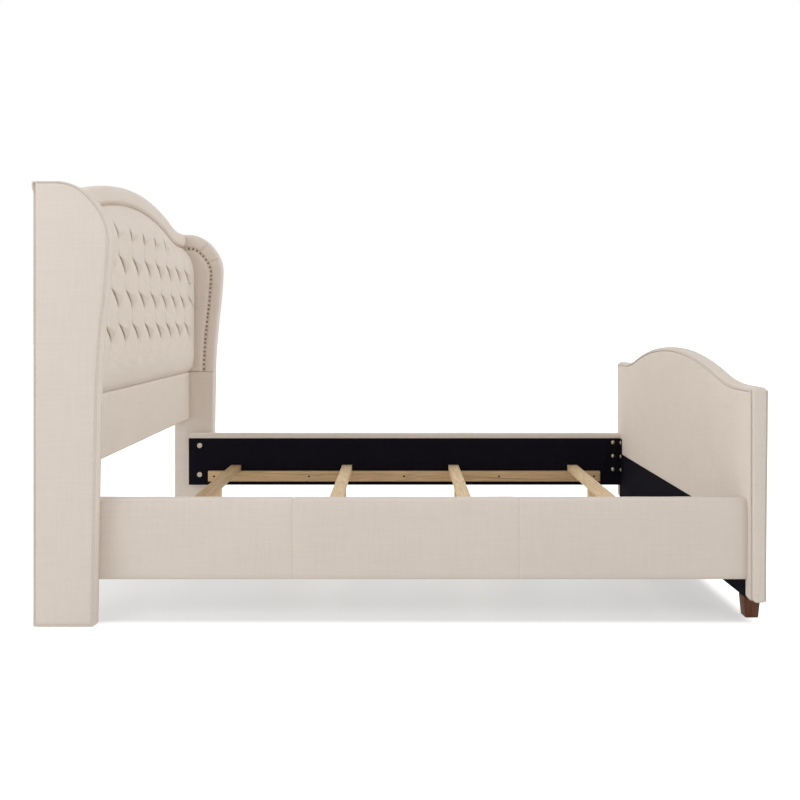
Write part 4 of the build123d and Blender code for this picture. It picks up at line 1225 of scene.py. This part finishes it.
class BED_OT_headboard(bpy.types.Operator):
    """Build the headboard's tufted and plain parts, its border and its back cloth"""

    bl_idname = "bed.headboard"
    bl_label = "Headboard"

    def execute(self, context):
        tufts, shade = tufted_pad()
        dress(tufts, "tufted", ["headboard_tufted_pad"], axis=0, smooth=0)
        bpy.ops.object.shade_smooth()
        # The fold shade is painted: each point's strength goes into the second coordinates that the cloth's
        # colour reads.
        shade = shade[numbers(tufts.data.loops, "vertex_index", kind=int)]
        layer = tufts.data.uv_layers.new(name="folds")
        layer.data.foreach_set("uv", np.stack([shade, 0 * shade], axis=1).ravel())
        dress(headboard_border(), "linen", ["headboard_border"])
        dress(lower_pad(), "linen", ["headboard_lower_pad"])
        back, area = back_cloth()
        dress(back, "black", ["headboard_back_cover"], smooth=SMOOTH_TURN)
        return {"FINISHED"}


class BED_OT_wings(bpy.types.Operator):
    """Build both wings' bands, borders, fields, covers and welts"""

    bl_idname = "bed.wings"
    bl_label = "Wings"

    def execute(self, context):
        for word, side in SIDES.items():
            wing = f"{word}_wing"
            for build, part, nodes, fill in (
                (wing_boxing, "band", [f"{wing}_boxing"], 0.8),
                (wing_border, "border", [], 0.8),
                (wing_inner_pad, "field", [f"{wing}_inner_pad"], 0.8),
                (wing_lower_cover, "lower", [f"{wing}_lower_cover"], 0.7),
                (wing_outer_cover, "outer", [f"{wing}_outer_cover"], 0.7),
            ):
                dress(build(side, f"{wing}_{part}"), "linen", nodes)
            dress(wing_welt(side, f"{wing}_welt"), "welt", ["wing_welts"], smooth=60)
        return {"FINISHED"}


class BED_OT_rails(bpy.types.Operator):
    """Build both side rails' covers and black linings"""

    bl_idname = "bed.rails"
    bl_label = "Side rails"

    def execute(self, context):
        for word, side in SIDES.items():
            dress(rail_cover(side, f"{word}_rail_padding"), "linen", [f"{word}_rail_cover"])
            lining = rail_lining(side, f"{word}_rail_cloth")
            dress(lining, "black", [f"{word}_rail_lining"], smooth=SMOOTH_TURN)
        return {"FINISHED"}


class BED_OT_footboard(bpy.types.Operator):
    """Build the footboard's fields, band, welts and black cloth"""

    bl_idname = "bed.footboard"
    bl_label = "Footboard"

    def execute(self, context):
        inner, outer = FOOT_FRAME_LOW.x, FOOT_FRAME_HIGH.x
        dress(footboard_boxing(), "linen", ["footboard_boxing"])
        field = footboard_pad("footboard_inner_field", FOOT_X, inner, True)
        dress(field, "linen", ["footboard_inner_pad"])
        field = footboard_pad("footboard_outer_field", END_X, outer, False)
        dress(field, "linen", ["footboard_outer_pad"])
        name = "footboard_black_cloth"
        black = taut_cloth(name, BLACK_LOW, BLACK_HIGH, 0, 1, (160, 24), 0.15, held_ends=True)
        dress(black, "black", ["footboard_black_panel"], smooth=SMOOTH_TURN)
        for word, across in (("inner", inner - 0.0028), ("outer", outer + 0.0028)):
            dress(footboard_welt(f"footboard_{word}_welt", across), "welt", ["footboard_welts"], smooth=60)
        return {"FINISHED"}


class BED_OT_woodwork(bpy.types.Operator):
    """Build the slats, their legs, the ledgers and the legs at the foot with eased edges"""

    bl_idname = "bed.woodwork"
    bl_label = "Woodwork"

    def execute(self, context):
        pieces = []
        for slat in SLATS:
            pieces.append((f"{slat}_plank", slat, "pine_dark" if slat == SLATS[0] else "pine_Y", 0.0015, 2))
            pieces.append((f"{slat}_posts", f"{slat}_legs", "pine_Z", 0.0015, 2))
        for word in SIDES:
            pieces.append((f"{word}_ledger_strip", f"{word}_ledger", "ledger", 0.0015, 2))
            pieces.append((f"{word}_tapered_leg", f"{word}_foot_leg", "walnut", 0.0025, 3))
        for name, node, finish, width, steps in pieces:
            dress(softened(name, node, width, steps), finish, [node], smooth=0)
        return {"FINISHED"}


# Studio
def background_rays(tree):
    """1 for the rays that show the background: to the camera and through mirrors and glass."""
    rays = add(tree, "ShaderNodeLightPath").outputs
    seen = maths(tree, "MAXIMUM", rays["Is Camera Ray"], rays["Is Glossy Ray"])
    return maths(tree, "MAXIMUM", seen, rays["Is Transmission Ray"])


def studio_floor(group):
    """A pale floor that keeps the bed's shadow and is white to the camera around it."""
    deselect()
    bpy.ops.mesh.primitive_plane_add(size=60)
    floor = bpy.context.object
    floor.name = "studio_floor"
    material, tree, place = new_finish("Studio floor", 0.95, shine=0.0)
    solid = place["Object"]
    seen = background_rays(tree)
    base = tuple(sizes("colours").floor)
    patches = noise(tree, solid, 2.0)
    # To the camera the floor's own colour is darker, because its glow is added to it there.
    pale, soft = (tinted(tree, base, low, low + 0.02, patches) for low in (0.90, 0.54))
    surface(tree, mixed(tree, seen, pale, soft))
    # Under the bed the floor glows less and keeps its real shade, and outside it is lifted to white.
    ground = add(tree, "ShaderNodeSeparateXYZ", {"Vector": solid}).outputs
    # The dimmer glow over the bed's ground area is a painted shadow on the floor.
    lift = 0.0
    for axis, low, high in (("X", BACK_X, FOOT_X), ("Y", -RAIL_Y, RAIL_Y)):
        away = maths(tree, "ABSOLUTE", maths(tree, "SUBTRACT", ground[axis], (low + high) / 2))
        edges = (high - low) / 2 - 0.02, (high - low) / 2 + 0.06
        outside = ranged(tree, away, *edges, group.floor_glow, 1.0, interpolation_type="SMOOTHSTEP")
        lift = maths(tree, "MAXIMUM", lift, outside)
    share = maths(tree, "MULTIPLY", seen, lift)
    white = add(tree, "ShaderNodeEmission", {"Color": (1, 1, 1, 1), "Strength": share})
    shader = tree.nodes["Principled BSDF"].outputs["BSDF"]
    both = add(tree, "ShaderNodeAddShader", {0: shader, 1: white.outputs["Emission"]})
    tree.links.new(both.outputs["Shader"], tree.nodes["Material Output"].inputs["Surface"])
    floor.data.materials.append(material)


def studio_sky(group):
    """Light that is strongest from both ends, and white where the camera looks past the floor."""
    world = bpy.data.worlds.new("Studio")
    bpy.context.scene.world = world
    world.use_nodes = True
    tree = world.node_tree
    background = tree.nodes["Background"].inputs
    background["Color"].default_value = (1, 1, 1, 1)
    place = add(tree, "ShaderNodeTexCoord").outputs["Generated"]
    along = add(tree, "ShaderNodeSeparateXYZ", {"Vector": place}).outputs["X"]
    light = maths(tree, "MULTIPLY_ADD", maths(tree, "ABSOLUTE", along), group.side_sky, group.even_sky)
    strength = ranged(tree, background_rays(tree), 0, 1, light, 1.0)
    tree.links.new(strength, background["Strength"])


def wing_lamp(power):
    """A large soft lamp that points at the near wing."""
    deselect()
    bpy.ops.object.light_add(type="AREA", location=LAMP_PLACE)
    lamp = bpy.context.object
    lamp.name = "wing_lamp"
    lamp.data.shape = "RECTANGLE"
    lamp.data.size, lamp.data.size_y, lamp.data.energy = LAMP_WIDTH, LAMP_WIDTH, power
    lamp.rotation_mode = "QUATERNION"
    lamp.rotation_quaternion = (Vector(LAMP_AIM) - Vector(LAMP_PLACE)).to_track_quat("-Z", "Y")


class BED_OT_stage(bpy.types.Operator):
    """Set up the floor, the sky, the lamp and the camera"""

    bl_idname = "bed.stage"
    bl_label = "Studio"

    def execute(self, context):
        group = sizes("studio")
        studio_floor(group)
        studio_sky(group)
        wing_lamp(group.wing_power)
        bpy.ops.object.camera_add(location=group.camera_place, rotation=(math.pi / 2, 0, 0))
        camera = context.object
        camera.name = "camera"
        camera.data.lens, camera.data.sensor_width = group.lens, 36.0
        camera.data.shift_y = group.shift
        camera.data.clip_start, camera.data.clip_end = 0.05, 100.0
        context.scene.camera = camera
        context.scene.view_settings.view_transform = "Standard"
        return {"FINISHED"}


STEPS = (
    BED_OT_finishes,
    BED_OT_headboard,
    BED_OT_wings,
    BED_OT_rails,
    BED_OT_footboard,
    BED_OT_woodwork,
    BED_OT_stage,
)
GROUPS = {
    "colours": BED_PG_colours,
    "headboard": BED_PG_headboard,
    "wings": BED_PG_wings,
    "footboard": BED_PG_footboard,
    "studio": BED_PG_studio,
}


class BED_PT_panel(bpy.types.Panel):
    """The bed's sizes, colours and building steps"""

    bl_idname = "BED_PT_panel"
    bl_label = "Panel bed"
    bl_space_type = "VIEW_3D"
    bl_region_type = "UI"
    bl_category = "Bed"

    def draw(self, context):
        for name, kind in GROUPS.items():
            box = self.layout.box()
            box.label(text=name.capitalize())
            for field in kind.__annotations__:
                box.prop(sizes(name), field)
        for step in STEPS:
            self.layout.operator(step.bl_idname)


def register():
    for kind in (*GROUPS.values(), *STEPS, BED_PT_panel):
        bpy.utils.register_class(kind)
    for name, kind in GROUPS.items():
        setattr(bpy.types.Scene, f"bed_{name}", bpy.props.PointerProperty(type=kind))


def unregister():
    for name in GROUPS:
        delattr(bpy.types.Scene, f"bed_{name}")
    for kind in reversed((*GROUPS.values(), *STEPS, BED_PT_panel)):
        bpy.utils.unregister_class(kind)


def main():
    register()
    for step in STEPS:
        area, name = step.bl_idname.split(".")
        getattr(getattr(bpy.ops, area), name)()


if __name__ == "__main__":
    main()
